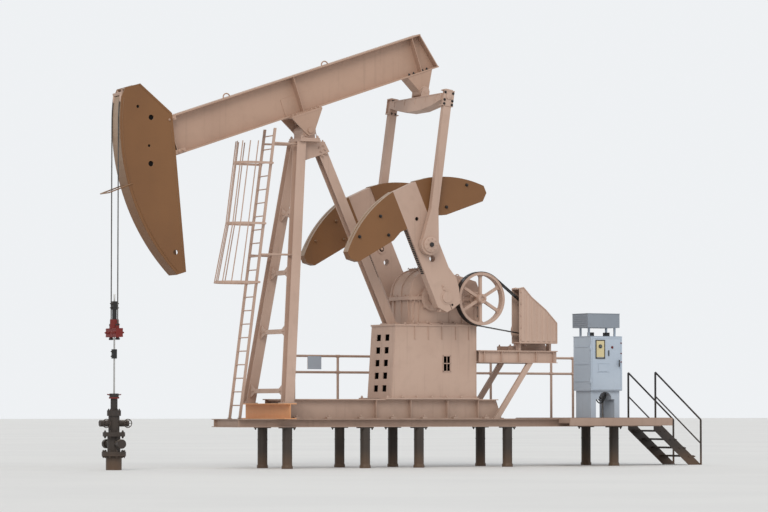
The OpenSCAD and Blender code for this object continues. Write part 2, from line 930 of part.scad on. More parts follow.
module motor_pulley() {
    color(grey)
        translate([motor_x, 0, motor_z])
            difference() {
                y_cylinder(pulley_d / 2, sheave_y - 85, sheave_y + 85);
                y_cylinder(motor_shaft_r + seat_gap, sheave_y - 100, sheave_y + 100);
            }
}

module walking_beam() {
    top = beam_rise + beam_depth;
    tail_cut = beam_tail + 540;
    color(beige)
        beam_frame() {
            difference() {
                beam_x(-head_back, tail_cut + 10, 0, top, beam_depth, beam_width, 30, 20);
                translate([tail_cut, -300, beam_rise])
                    rotate([0, -15.5, 0])
                        translate([0, 0, -200])
                            cube([600, 600, 1500]);
            }
            for (x = [40, beam_tail + 80, -head_back + 750])
                box([x - 8, x + 8], [-beam_width / 2 + 10, beam_width / 2 - 10],
                    [beam_rise + 25, top - 25]);
            for (x = [967, -1609])
                translate([x, 0, top])
                    rotate([90, 0, 0])
                        rotate_extrude(angle = 180)
                            translate([80, 0])
                                circle(r = 14, $fn = 16);
        }
}

// Points along the horsehead's arc, from its top to its foot, in the beam's frame
function head_arc_points(r) = [for (i = [0:24])
    let (a = head_top_angle - (head_top_angle + head_arc) * i / 24) [-r * cos(a), r * sin(a)]];

module horsehead() {
    half = head_width / 2;
    top = beam_rise + beam_depth;
    back = [[720, -2050], [1300, 390], [1510, 1320], [990, 2140], [610, 2150]];
    outline = concat(head_arc_points(head_face_r - 8),
        [for (p = back) [p[0] - beam_reach, p[1]]]);
    inner = head_arc_points(head_face_r - 24);
    face = concat(head_arc_points(head_face_r), [for (i = [24:-1:0]) inner[i]]);
    color(brown)
        beam_frame() {
            difference() {
                union() {
                    side_plate(outline, -half, -head_inner);
                    side_plate(outline, head_inner, half);
                    side_plate(face, -half + 4, half - 4);
                    box([-head_back, -head_back + 600], [-head_inner, head_inner],
                        [top, top + 50]);
                    box([-head_back, -head_back + 500], [-head_inner, head_inner],
                        [beam_rise - 40, beam_rise]);
                    box([610 - beam_reach, 985 - beam_reach], [-head_inner, head_inner],
                        [2110, 2135]);
                }
                for (hole = [[777, 1683, 35], [1003, 1370, 60], [760, 803, 30], [675, 422, 60],
                        [615, -1569, 55]])
                    translate([hole[0] - beam_reach, 0, hole[1]])
                        y_cylinder(hole[2], -half - 10, half + 10);
            }
            keeper_x = -beam_reach - keeper_reach;
            for (y = [-half, half])
                rod([-beam_reach + 120, y, keeper_rise], [keeper_x, y, keeper_rise - 20], 14);
            rod([keeper_x, -half, keeper_rise - 20], [keeper_x, half, keeper_rise - 20], 14);
        }
}

module saddle_bracket() {
    web = [[-340, beam_rise - 40], [450, beam_rise - 40], [105, -50], [60, -105], [-60, -105],
        [-105, -50]];
    color(beige)
        beam_frame() {
            box([-340, 450], [-280, 280], [beam_rise - 40, beam_rise]);
            for (y = [[-275, -240], [240, 275]])
                side_plate(web, y[0], y[1]);
            box([-60, 60], [-245, 245], [200, beam_rise - 30]);
            y_cylinder(saddle_shaft_r, -300, 300);
        }
}

module tail_bearing() {
    web = [[-320, beam_rise], [350, beam_rise], [120, 20], [-120, 20]];
    color(beige)
        beam_frame()
            translate([beam_tail, 0, 0])
                difference() {
                    union() {
                        side_plate(web, -170, 170);
                        y_cylinder(125, -170, 170);
                    }
                    y_cylinder(tail_shaft_r + run_gap, -200, 200);
                }
}

module wireline_wrap() {
    color(grey)
        translate([beam_reach, 0, saddle_height])
            for (y = [-wire_gap / 2, wire_gap / 2])
                translate([0, y, 0])
                    mirror([1, 0, 0])
                        rotate([90, 0, 0])
                            rotate_extrude(angle = 6.5, $fn = 180)
                                translate([beam_reach, 0])
                                    circle(d = wire_d, $fn = 16);
}

module equalizer() {
    end_y = pitman_in;
    profile = [[-end_y, -150], [end_y, -150], [end_y, -300], [800, -400], [300, -470],
        [-300, -470], [-800, -400], [-end_y, -300]];
    color(beige)
        pitman_frame() {
            translate([-125, 0, 0])
                rotate([90, 0, 90])
                    linear_extrude(250)
                        polygon(profile);
            for (y = [[-235, -190], [190, 235]])
                side_plate([[-95, -160], [95, -160], [95, 0], [60, 80], [-60, 80], [-95, 0]],
                    y[0], y[1]);
            y_cylinder(tail_shaft_r, -240, 240);
        }
}

module pitman(y0, y1) {
    half = pitman_w / 2;
    cap_y = y0 < 0 ? y0 - 12 : y1;
    box([-half, half], [y0, y1], [-pitman_length + 150, -60]);
    side_plate([[-half, -pitman_length + 820], [half, -pitman_length + 820],
        [wrist_boss_r * 0.93, -pitman_length + 60],
        [-wrist_boss_r * 0.93, -pitman_length + 60]], y0, y1);
    translate([0, 0, -pitman_length])
        y_cylinder(wrist_boss_r, y0, y1);
    box([-130, 130], [cap_y, cap_y + 12], [-440, -80]);
}

module pitmans() {
    color(beige)
        pitman_frame() {
            pitman(-pitman_in - pitman_thick, -pitman_in);
            pitman(pitman_in, pitman_in + pitman_thick);
        }
}

module carrier_bar() {
    color(red)
        translate([0, 0, carrier_z])
            difference() {
                union() {
                    box([-80, 80], [-270, 270], [0, 190]);
                    for (y = [-wire_gap / 2, wire_gap / 2])
                        translate([0, y, -60])
                            cylinder(h = carrier_socket_h, r = 38);
                    translate([0, 0, 190])
                        cylinder(h = carrier_collar_h, r = 95);
                }
                translate([0, 0, -150])
                    cylinder(h = 800, r = rod_d / 2 + fit_gap);
            }
}

module rod_clamps() {
    color(black)
        difference() {
            union() {
                box([-55, 55], [-55, 55], [rod_top - 340, rod_top - 160]);
                translate([0, 0, carrier_z + 190 + carrier_collar_h])
                    cylinder(h = rod_top - 340 - carrier_z - 190 - carrier_collar_h, r = 50);
                box([-45, 45], [-45, 45], [carrier_z - 460, carrier_z - 260]);
            }
            translate([0, 0, well_top])
                cylinder(h = rod_top, r = rod_d / 2 + fit_gap);
        }
}

module wirelines() {
    foot = carrier_z - 60 + carrier_socket_h;
    color(grey)
        for (y = [-wire_gap / 2, wire_gap / 2])
            translate([0, y, foot])
                cylinder(h = saddle_height - 1 - foot, d = wire_d, $fn = 16);
}

module polished_rod() {
    color(grey)
        translate([0, 0, well_top + 50])
            cylinder(h = rod_top - well_top - 50, d = rod_d);
}

piles();
pile_frame();
deck();
base_frame();
front_cross_beam();
pedestal();
motor_platform();
platform_braces();
front_legs();
back_leg();
leg_braces();
post_head();
saddle_bearing();
ladder();
ladder_standoffs();
ladder_cage();
gearbox_housing();
gearbox_cover();
motor();
drive_belt();
belt_guard();
guard_rail();
cabinet_body();
cabinet_stand();
stair();
stair_handrails();
wellhead();
stuffing_box();
cabinet_door();
crankshaft();
cranks();
counterweights();
belt_sheave();
motor_pulley();
walking_beam();
horsehead();
saddle_bracket();
tail_bearing();
wireline_wrap();
equalizer();
pitmans();
carrier_bar();
rod_clamps();
wirelines();
polished_rod();
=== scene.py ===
"""Looks of the beam pumping unit: paint, steel, rope and the small fittings that CAD leaves out.

Everything is in metres, in the CAD's frame: X along the beam to its tail, -Y the near side, Z up.
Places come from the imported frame's joints and node boxes; sizes of fittings are given where they
are drawn, in each piece's own frame.
"""

import json
from itertools import product
from math import acos, atan2, cos, pi, radians, sin

import bmesh
import bpy
from mathutils import Matrix, Vector


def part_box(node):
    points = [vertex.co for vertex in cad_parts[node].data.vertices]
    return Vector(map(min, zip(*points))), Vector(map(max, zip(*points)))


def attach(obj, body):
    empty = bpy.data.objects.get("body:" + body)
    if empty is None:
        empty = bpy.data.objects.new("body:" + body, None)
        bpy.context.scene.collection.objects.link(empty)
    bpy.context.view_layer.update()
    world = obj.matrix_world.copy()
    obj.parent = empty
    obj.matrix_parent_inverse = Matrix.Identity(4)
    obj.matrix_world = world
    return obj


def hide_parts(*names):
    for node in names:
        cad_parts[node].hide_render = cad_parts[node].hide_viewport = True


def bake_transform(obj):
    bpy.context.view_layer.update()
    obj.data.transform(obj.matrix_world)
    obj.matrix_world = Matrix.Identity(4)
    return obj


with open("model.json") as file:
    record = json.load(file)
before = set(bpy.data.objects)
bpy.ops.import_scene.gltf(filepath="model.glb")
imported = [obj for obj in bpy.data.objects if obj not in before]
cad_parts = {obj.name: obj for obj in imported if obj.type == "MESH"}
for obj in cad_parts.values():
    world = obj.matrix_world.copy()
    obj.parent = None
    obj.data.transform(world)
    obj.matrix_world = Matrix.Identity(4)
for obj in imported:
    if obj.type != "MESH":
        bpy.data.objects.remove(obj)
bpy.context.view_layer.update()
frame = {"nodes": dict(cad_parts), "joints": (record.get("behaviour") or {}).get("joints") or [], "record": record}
NODES = frame["nodes"]
JOINTS = {joint["name"]: joint for joint in frame["joints"]}
BOX = {name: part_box(name) for name in NODES}


def pivot(joint):
    """The point that a hinge turns about."""
    return Vector(JOINTS[joint]["pos_m"])


SADDLE, SHAFT, TAIL = pivot("beam_rock"), pivot("crank_turn"), pivot("pitman_swing")
SHEAVE, PULLEY = pivot("sheave_spin"), pivot("pulley_spin")

# The linkage's lengths, which give the slope of each member at rest
CRANK_R = 1.27
PITMAN_L = 3.583
BEAM_TILT = atan2(TAIL.z - SADDLE.z, TAIL.x - SADDLE.x)
REACH = SADDLE.x
TAIL_DIST = (TAIL - SHAFT).length
CRANK_LEAN = atan2(SHAFT.x - TAIL.x, TAIL.z - SHAFT.z) + acos(
    (CRANK_R**2 + TAIL_DIST**2 - PITMAN_L**2) / (2 * CRANK_R * TAIL_DIST)
)
WRIST = SHAFT + Vector((-sin(CRANK_LEAN), 0, cos(CRANK_LEAN))) * CRANK_R
PITMAN_LEAN = atan2(TAIL.x - WRIST.x, TAIL.z - WRIST.z)

# The beam in its own frame, over the saddle's axis, and the wirelines' distance from the middle
BEAM_LOW, BEAM_HIGH = 0.415, 1.265
BEAM_HALF, FLANGE = 0.18, 0.03
ROPE_Y = 0.17

BOTH = (-1, 1)
NEAR, FAR = Vector((0, -1, 0)), Vector((0, 1, 0))
UP, DOWN = Vector((0, 0, 1)), Vector((0, 0, -1))


def turned(at, angle):
    """A frame at a point, leaning by the angle about Y."""
    return Matrix.Translation(at) @ Matrix.Rotation(angle, 4, "Y")


ON_BEAM = turned(SADDLE, -BEAM_TILT)
ON_CRANK = turned(SHAFT, -CRANK_LEAN)
ON_PITMAN = turned(TAIL, PITMAN_LEAN)
AT_MOTOR = Matrix.Translation((PULLEY.x, 0, PULLEY.z))


# Materials
class Graph:
    """A node tree, with short calls for the nodes used here."""

    def __init__(self, tree):
        self.tree = tree

    def node(self, kind, inputs=None, **props):
        made = self.tree.nodes.new(kind)
        for key, value in props.items():
            setattr(made, key, value)
        for key, value in (inputs or {}).items():
            self.put(made.inputs[key], value)
        return made

    def put(self, socket, value):
        if isinstance(value, bpy.types.NodeSocket):
            self.tree.links.new(value, socket)
        else:
            socket.default_value = value

    def math(self, operation, a, b=0.0):
        return self.node("ShaderNodeMath", {0: a, 1: b}, operation=operation).outputs[0]

    def plus(self, a, b):
        return self.math("ADD", a, b)

    def times(self, a, b):
        return self.math("MULTIPLY", a, b)


class Finish(Graph):
    """A material, made from its node tree."""

    def __init__(self, name):
        self.material = bpy.data.materials.new(name)
        self.material.use_nodes = True
        super().__init__(self.material.node_tree)
        self.shader = self.tree.nodes["Principled BSDF"]
        self.coords = self.node("ShaderNodeTexCoord").outputs["Object"]

    def noise(self, scale, detail=4.0, stretch=None):
        vector = self.coords
        if stretch:
            vector = self.node("ShaderNodeMapping", {"Vector": vector, "Scale": stretch}).outputs[0]
        inputs = {"Vector": vector, "Scale": scale, "Detail": detail}
        return self.node("ShaderNodeTexNoise", inputs).outputs["Fac"]

    def between(self, value, low, high, top=1.0):
        """0 below low, top above high, smooth in between."""
        inputs = {"Value": value, "From Min": low, "From Max": high, "To Max": top}
        made = self.node("ShaderNodeMapRange", inputs, interpolation_type="SMOOTHSTEP")
        return made.outputs[0]

    def mix(self, share, a, b):
        inputs = {"Factor": share, "A": a, "B": b}
        return self.node("ShaderNodeMix", inputs, data_type="RGBA").outputs["Result"]

    def edges(self, radius):
        """1 on edges and corners, found by how far a rounded normal leans from the flat one."""
        rounded = self.node("ShaderNodeBevel", {"Radius": radius}, samples=4).outputs[0]
        flat = self.node("ShaderNodeNewGeometry").outputs["Normal"]
        dot = self.node("ShaderNodeVectorMath", {0: rounded, 1: flat}, operation="DOT_PRODUCT")
        return self.between(dot.outputs["Value"], 0.995, 0.86)

    def done(self, colour, roughness, metallic=0.0, bump=None, sheen=0.5):
        """Joins the nodes to the shader; bump is (height, strength, depth in metres)."""
        self.put(self.shader.inputs["Base Color"], colour)
        self.put(self.shader.inputs["Roughness"], roughness)
        self.put(self.shader.inputs["Metallic"], metallic)
        self.shader.inputs["Specular IOR Level"].default_value = sheen
        if bump:
            inputs = dict(zip(("Height", "Strength", "Distance"), bump))
            self.put(self.shader.inputs["Normal"], self.node("ShaderNodeBump", inputs).outputs[0])
        return self.material


def srgb(red, green, blue):
    """A colour written in 0 to 255, as the linear one that a shader takes."""

    def linear(value):
        share = value / 255
        return share / 12.92 if value <= 10 else ((share + 0.055) / 1.055) ** 2.4

    return (linear(red), linear(green), linear(blue), 1.0)


RUST = srgb(112, 62, 38)
DIRT = srgb(84, 70, 58)
MUD = srgb(104, 80, 60)
# Pale dust, also used for a painted highlight on the brown plates' cut edges
DUST_AND_HIGHLIGHT = srgb(201, 186, 168)
BARE = srgb(120, 116, 112)


def painted(name, colour, shade, grime=0.5, wear=0.5, rough=0.45, sheen=0.35, rim=0.0):
    """Sprayed paint on plate steel: broad tones, rain streaks, splash near the ground, worn edges.

    Splash thins out over one range of heights, in metres, and ends over another; rim is how pale
    the plates' cut edges are that face up or sideways, partly dust and partly a painted highlight.
    """
    splash_thins, splash_ends, mud = (1.75, 0.95), (2.1, 1.5), (0.5, 0.02)
    colour, shade = srgb(*colour), srgb(*shade)
    g = Finish(name)
    height = g.node("ShaderNodeSeparateXYZ", {0: g.coords}).outputs["Z"]
    normal = g.node("ShaderNodeSeparateXYZ", {0: g.node("ShaderNodeTexCoord").outputs["Normal"]})
    facing = normal.outputs["Z"]
    wall = g.between(g.math("ABSOLUTE", facing), 0.75, 0.35)
    mottle = g.noise(5.0, 5.0)
    tone = g.mix(g.between(g.noise(0.55, 3.0), 0.35, 0.68, 0.8), colour, shade)
    tone = g.mix(g.between(mottle, 0.48, 0.75, 0.12 * grime), tone, DIRT)
    streak = g.between(g.noise(1.0, 4.0, (13.0, 13.0, 0.5)), 0.55, 0.78, 0.3 * grime)
    tone = g.mix(g.times(streak, wall), tone, DIRT)
    splash = g.plus(g.between(height, *splash_thins, 0.55 * grime), g.times(mottle, 0.12))
    tone = g.mix(g.times(splash, g.between(height, *splash_ends)), tone, DIRT)
    tone = g.mix(g.between(height, *mud, 0.6), tone, MUD)
    settled = g.times(g.between(facing, 0.4, 0.95), g.between(mottle, 0.3, 0.7, 0.3))
    tone = g.mix(settled, tone, DUST_AND_HIGHLIGHT)
    # Painted highlight, partly dust: cut edges facing up or sideways are paler, as if catching the sky
    if rim:
        edge_on = g.between(g.math("ABSOLUTE", normal.outputs["Y"]), 0.6, 0.3)
        tone = g.mix(g.times(edge_on, g.between(facing, -0.5, 0.1, rim)), tone, DUST_AND_HIGHLIGHT)
    ragged = g.between(g.noise(26.0, 6.0), 0.46, 0.66)
    chipped = g.times(g.times(g.edges(0.006), ragged), wear)
    tone = g.mix(chipped, tone, g.mix(g.between(g.noise(30.0), 0.45, 0.6), RUST, BARE))
    tone = g.mix(g.between(g.noise(9.0, 8.0), 0.76, 0.82, 0.5 * wear), tone, RUST)
    skin = g.plus(g.times(g.noise(70.0, 2.0), 0.1), g.times(g.noise(2.2, 2.0), 0.9))
    skin = g.math("SUBTRACT", skin, g.times(chipped, 0.3))
    roughness = g.plus(rough, g.times(g.plus(mottle, chipped), 0.16))
    return g.done(tone, roughness, 0.0, (skin, 0.25, 0.004), sheen)


def steel(name, colour, stain, rough=0.35, grain=(60.0, 60.0, 4.0)):
    """Bare or galvanised steel: fine drawn grain, dull film and a little rust."""
    g = Finish(name)
    film = g.noise(5.0, 5.0)
    lines = g.noise(1.0, 3.0, grain)
    tone = g.mix(g.between(film, 0.4, 0.7, 0.6), srgb(*colour), srgb(*stain))
    tone = g.mix(g.between(lines, 0.45, 0.7, 0.35), tone, BARE)
    tone = g.mix(g.between(g.noise(16.0, 7.0), 0.66, 0.78, 0.4), tone, RUST)
    return g.done(tone, g.plus(rough, g.times(film, 0.3)), 0.85, (lines, 0.15, 0.001))


def rubber(name):
    g = Finish(name)
    film = g.noise(9.0, 6.0)
    tone = g.mix(g.between(film, 0.45, 0.75, 0.5), srgb(22, 22, 24), srgb(62, 56, 50))
    return g.done(tone, g.between(film, 0.2, 0.8, 0.85), 0.0, (g.noise(120.0), 0.3, 0.001))


def glass(name):
    g = Finish(name)
    g.shader.inputs["Transmission Weight"].default_value = 0.7
    tone = g.mix(g.noise(8.0), srgb(120, 140, 145), srgb(170, 180, 180))
    return g.done(tone, g.between(g.noise(30.0), 0.2, 0.8, 0.2))


MATERIAL = {
    "beige_paint": painted("beige paint", (189, 162, 146), (180, 152, 136), 0.5, 0.35),
    # The brown plates' cut edges (rim) carry a painted highlight, partly dust
    "brown_paint": painted("brown paint", (126, 87, 53), (115, 78, 47), 0.3, 0.3, rim=0.42),
    "black_steel": painted("black steel", (33, 33, 35), (44, 41, 40)),
    "bare_steel": steel("bare steel", (150, 148, 146), (105, 98, 92)),
    "pale_paint": painted("pale paint", (183, 195, 208), (173, 185, 199), 0.18, 0.2, 0.4),
    "orange_paint": painted("orange paint", (226, 166, 118), (216, 154, 106), 0.2, 0.3),
    "red_paint": painted("red paint", (116, 34, 30), (96, 28, 26), 0.3, 0.4),
    "belt_rubber": rubber("belt rubber"),
}
# Finishes of single pieces, which take the nearest slot of the record
HOOD = painted("grey hood paint", (138, 146, 156), (128, 136, 146), 0.4, 0.3)
CREAM = painted("cream panel paint", (214, 202, 160), (204, 190, 146), 0.2, 0.1)
# Painted shade: near-black, dull paint for dark sheets and discs set in holes and behind openings, where only
# shade would be seen
PAINTED_SHADE = painted("painted shade", (18, 16, 16), (26, 23, 22), 0.2, 0.1, 0.8, 0.1)
# A darker beige for the beam, its bearings and its fittings
BEAM = painted("beige paint, darker", (180, 149, 130), (168, 138, 120), 0.5, 0.35)
ROPE = steel("wire rope", (96, 94, 92), (58, 52, 46), 0.45, (40.0, 40.0, 40.0))
POLISHED = steel("polished rod steel", (190, 190, 188), (150, 146, 140), 0.18, (90.0, 90.0, 3.0))
GLASS = glass("gauge glass")


# Places
def steps(low, high, pitch):
    """Evenly spaced places from low to high, about a pitch apart."""
    count = max(1, round((high - low) / pitch))
    return [low + (high - low) * i / count for i in range(count + 1)]


def pair(middle, off):
    """Two places, one to each side of the middle."""
    return (middle - off, middle + off)


def span(side, a, b):
    """From a to b on one side of the middle, the lower end first."""
    return sorted((side * a, side * b))


def arc(centre, rx, rz, angles):
    """Points on an ellipse in X and Z."""
    x, y, z = centre
    return [(x + rx * cos(a), y, z + rz * sin(a)) for a in angles]


def spokes(axis, count, phase=0.0):
    """Unit vectors evenly round an axis."""
    side = axis.orthogonal().normalized()
    other = axis.cross(side)
    angles = [phase + 2 * pi * i / count for i in range(count)]
    return [side * cos(a) + other * sin(a) for a in angles]


# Mesh tools
class Piece:
    """One named mesh, drawn from simple forms in a local frame and hung on a CAD body."""

    def __init__(self, name, body="structure", slot="beige_paint", place=Matrix()):
        self.name, self.body, self.slot, self.place = name, body, slot, place
        self.mesh = bmesh.new()

    def solid(self, points, faces):
        made = [self.mesh.verts.new(self.place @ Vector(p)) for p in points]
        for face in faces:
            self.mesh.faces.new([made[i] for i in face])

    def box(self, x, y, z):
        quads = ((0, 1, 3, 2), (4, 6, 7, 5), (0, 4, 5, 1), (2, 3, 7, 6), (0, 2, 6, 4), (1, 5, 7, 3))
        self.solid(product(x, y, z), quads)

    def rings(self, rings, loop=False):
        """Skins a row of equal rings of points: with two end caps, or back round to the first."""
        n, count = len(rings[0]), len(rings)
        faces = []
        for r in range(count if loop else count - 1):
            a, b = r * n, (r + 1) % count * n
            faces += [(a + i, a + (i + 1) % n, b + (i + 1) % n, b + i) for i in range(n)]
        if not loop:
            last = (count - 1) * n
            faces += [tuple(range(n))[::-1], tuple(range(last, last + n))]
        self.solid([p for ring in rings for p in ring], faces)

    def plate(self, outline, y0, y1):
        """An outline in X and Z, made solid from y0 to y1."""
        self.rings([[(x, y, z) for x, z in outline] for y in (y0, y1)])

    def turn(self, start, axis, profile, sides=24, loop=False):
        """A turned form: profile is (distance along the axis, radius) from start."""
        start, axis = Vector(start), Vector(axis).normalized()
        around = spokes(axis, sides)
        self.rings([[start + axis * d + s * r for s in around] for d, r in profile], loop)

    def disc(self, start, axis, radius, thick, sides=20):
        self.turn(start, axis, [(0, radius), (thick, radius)], sides)

    def band(self, start, axis, outer, inner, length, sides=24):
        """A plain ring with a hole through it."""
        profile = [(0, inner), (0, outer), (length, outer), (length, inner)]
        self.turn(start, axis, profile, sides, loop=True)

    def bolt(self, at, axis, size):
        """A hexagon nut on its washer, with the bolt's end; size is the nut's width."""
        at, axis = Vector(at), Vector(axis).normalized()
        high = size * 0.75
        nut = [(0, size * 0.56), (high * 0.85, size * 0.56), (high, size * 0.47)]
        self.disc(at, axis, size * 0.95, size * 0.12, 12)
        self.turn(at + axis * size * 0.12, axis, nut, 6)
        self.turn(at + axis * high, axis, [(0, size * 0.28), (size * 0.45, size * 0.26)], 8)

    def bolt_grid(self, xs, ys, zs, axis, size):
        """A bolt at each mix of the places; a single place may be a plain number."""
        rows = [v if isinstance(v, (tuple, list)) else (v,) for v in (xs, ys, zs)]
        for at in product(*rows):
            self.bolt(at, axis, size)

    def bolt_ring(self, centre, axis, radius, count, size, phase=0.0):
        centre, axis = Vector(centre), Vector(axis).normalized()
        for spoke in spokes(axis, count, phase):
            self.bolt(centre + spoke * radius, axis, size)

    def tube(self, path, radius, sides=8, lobes=0, twist=0.0):
        """A tube along a path; lobes and twist give it a rope's strands."""
        groove = 0.16  # depth between strands, as a share of the radius
        path = [Vector(p) for p in path]
        rings, run = [], 0.0
        side = (path[1] - path[0]).normalized().orthogonal().normalized()
        for i, p in enumerate(path):
            ahead = (path[min(i + 1, len(path) - 1)] - path[max(i - 1, 0)]).normalized()
            side = (side - ahead * side.dot(ahead)).normalized()
            other = ahead.cross(side)
            run += (p - path[i - 1]).length if i else 0.0
            ring = []
            for k in range(sides):
                a = 2 * pi * k / sides
                r = radius
                if lobes:
                    r *= 1 - groove * abs(sin(lobes * (a - twist * run) / 2))
                ring.append(p + side * cos(a) * r + other * sin(a) * r)
            rings.append(ring)
        self.rings(rings)

    def done(self, material=None, bevel=0.0, smooth=35.0, ride=True):
        data = bpy.data.meshes.new(self.name)
        bmesh.ops.recalc_face_normals(self.mesh, faces=self.mesh.faces)
        self.mesh.to_mesh(data)
        self.mesh.free()
        for polygon in data.polygons:
            polygon.use_smooth = True
        data.set_sharp_from_angle(angle=radians(smooth))
        made = bpy.data.objects.new(self.name, data)
        bpy.context.scene.collection.objects.link(made)
        data.materials.append(material or MATERIAL[self.slot])
        if bevel:
            edge = made.modifiers.new("edges", "BEVEL")
            edge.width, edge.segments, edge.limit_method = bevel, 2, "ANGLE"
            edge.angle_limit = radians(50)
        if ride:
            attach(made, self.body)
        return made


# Beam, head and post
def beam_fittings():
    low, high, half = BEAM_LOW, BEAM_HIGH, BEAM_HALF
    bolt, bearing = 0.042, 3.15  # bolts' width, and the tail bearing's place along the beam
    p = Piece("beam_bolts", "beam", place=ON_BEAM)
    p.bolt_grid((-0.29, -0.19, 0.2, 0.31, 0.41), pair(0, 0.24), low, UP, bolt)
    p.done(material=BEAM)
    p = Piece("tail_bolts", "beam", "black_steel", ON_BEAM)
    along = [bearing + d for d in (-0.24, -0.12, 0.12, 0.24)]
    p.bolt_grid(along, pair(0, 0.13), low + FLANGE, UP, bolt)
    p.done()
    p = Piece("beam_plates", "beam", place=ON_BEAM)
    for y in BOTH:  # doubling plates on the web over the saddle and at the head
        p.box((-0.36, 0.47), span(y, 0.01, 0.022), (low + FLANGE, low + 0.42))
        p.box((-3.95, -3.05), span(y, 0.01, 0.02), (low + 0.09, high - 0.09))
    for x in (-0.36, 0.45):
        p.box((x, x + 0.02), (-half, half), (low - 0.012, low + 0.001))
    # The end plate: the beam's end at its underside, and how far it leans back with height
    tail, lean = 3.69, 0.277
    ends = [(tail - lean * (z - low), z) for z in (low + FLANGE, high - FLANGE)]
    inside, outside = ([(x - d, z) for x, z in ends] for d in (0.03, 0.006))
    p.plate(inside + outside[::-1], 0.004 - half, half - 0.004)
    p.done(material=BEAM, bevel=0.004)
    p = Piece("head_brackets", "beam", place=ON_BEAM)
    face = 0.199
    for y in BOTH:
        for z in (low + 0.02, high - 0.11):
            p.box((-3.62, -3.02), span(y, half, face), (z, z + 0.09))
        p.bolt_grid((-3.1, -3.2), y * face, (low + 0.065, high - 0.065), (0, y, 0), 0.045)
    p.done(material=BEAM, bevel=0.003)


def head_fittings():
    half = (BOX["horsehead"][1].y - BOX["horsehead"][0].y) / 2 - 0.014
    rim = REACH - 0.05
    p = Piece("head_welds", "beam", "brown_paint", ON_BEAM)
    back = [(-3.88, -2.05), (-3.3, 0.39), (-3.09, 1.32), (-3.61, 2.14)]
    for y in BOTH:
        side = y * (half + 0.001)
        angles = [radians(a) for a in steps(-26.0, 25.4, 2.0)]
        p.tube(arc((0.035, side, 0), -rim, rim, angles), 0.009, 6)
        for ends in zip(back, back[1:]):
            a, b = (Vector((x - 0.05, side, z)) for x, z in ends)
            p.tube([a.lerp(b, t) for t in (0.02, 0.5, 0.98)], 0.007, 6)
    p.done()
    # Painted shade: dark discs just inside the head's holes, where the inside of the head would be seen
    p = Piece("head_hole_shade", "beam", "black_steel", ON_BEAM)
    holes = ((-3.823, 1.683, 0.035), (-3.597, 1.37, 0.06), (-3.84, 0.803, 0.03), (-3.925, 0.422, 0.06))
    for y in BOTH:
        for x, z, r in holes:
            p.disc((x, y * (half - 0.03), z), (0, y, 0), r * 0.96, 0.006, 24)
    p.done(material=PAINTED_SHADE)
    p = Piece("rope_anchor", "beam", place=ON_BEAM)
    at, face = radians(25.6), REACH + 0.002
    x, z = -face * cos(at), face * sin(at)
    socket = [(0, 0.022), (0.02, 0.034), (0.15, 0.034), (0.17, 0.02)]
    for y in BOTH:
        p.turn((x - 0.02, y * ROPE_Y, z - 0.1), (0.42, 0, 0.9), socket, 16)
    p.box((-4.13, -3.98), (-0.19, 0.19), (2.03, 2.09))
    p.bolt_grid(-4.03, pair(0, 0.12), 2.09, UP, 0.036)
    p.done(bevel=0.003)


def leg_at(z):
    """Centre of the far front leg at a height."""
    foot, top = Vector((REACH - 0.9, 0.94, 1.45)), Vector((REACH - 0.19, 0.13, 7.235))
    return foot.lerp(top, (z - foot.z) / (top.z - foot.z))


def post_fittings():
    foot, top = (corner.z for corner in BOX["front_legs"])
    cheek = 0.1283  # outer face of the head plate's cheeks
    seat = foot + 0.02
    leg_foot = leg_at(seat)
    p = Piece("post_bolts")
    p.bolt_grid(pair(REACH, 0.195), pair(0, 0.252), SADDLE.z - 0.165, UP, 0.05)
    p.bolt_grid((REACH + 0.34, REACH + 0.41), pair(0, 0.085), top + 0.02, UP, 0.036)
    for y in BOTH:
        p.bolt_grid(pair(leg_foot.x, 0.055), pair(y * leg_foot.y, 0.05), seat, UP, 0.036)
    rear = steps(SHAFT.x - 0.94, SHAFT.x - 0.72, 0.11)
    p.bolt_grid(rear, pair(0, 0.135), BOX["back_leg"][0].z + 0.02, UP, 0.026)
    lean = atan2(1.865, 4.025)  # the back leg's, from the upright
    down, across = Vector((sin(lean), 0, -cos(lean))), Vector((cos(lean), 0, sin(lean)))
    for y in BOTH:
        start = Vector((REACH + 0.305, y * cheek, top))
        for d, c in product((0.1, 0.2, 0.3), pair(0, 0.055)):
            p.bolt(start + down * d + across * c, (0, y, 0), 0.034)
    p.done()
    p = Piece("post_welds")
    edge = [(REACH + x, top + z) for x, z in ((0, 0), (0.441, 0), (0.551, -0.197), (0.13, -0.348))]
    for y in BOTH:
        for a, b in zip(edge, edge[1:]):
            p.tube([(x, y * cheek, z) for x, z in (a, b)], 0.006, 6)
        for side in pair(leg_foot.y, 0.113):  # where the legs stand on their foot plates
            p.tube([(x, y * side, foot + 0.023) for x in pair(leg_foot.x, 0.11)], 0.007, 6)
        p.tube([(SHAFT.x + dx, y * 0.113, 3.233) for dx in (-0.955, -0.7)], 0.007, 6)
    p.done()
    p = Piece("saddle_caps")
    for y in BOTH:
        p.band(SADDLE + FAR * y * 0.225, (0, y, 0), 0.15, 0.066, 0.011, 36)
    grease = ((0.16, -0.1, 0.02), (0.22, -0.1, 0), (0.235, -0.12, -0.1), (0.245, -0.16, -0.24))
    p.tube([SADDLE + Vector(v) for v in grease], 0.009)
    p.done()
    p = Piece("leg_gussets")
    outline = [(0, -0.16), (0, 0.16), (-0.2, 0.052), (-0.2, -0.052)]
    for i in range(4):
        z = foot + 0.276 + 1.305 * i
        at = leg_at(z)
        edge = at.y - 0.112
        for y in BOTH:
            p.rings([
                [(at.x - 0.055 + dx, y * (edge + t - 0.14 * dz), z + dz) for t, dz in outline]
                for dx in (-0.008, 0.0)
            ])
            p.bolt_grid(at.x - 0.063, [y * (edge + t) for t in (-0.07, -0.14)], z, (-1, 0, 0), 0.03)
    p.done(bevel=0.002)


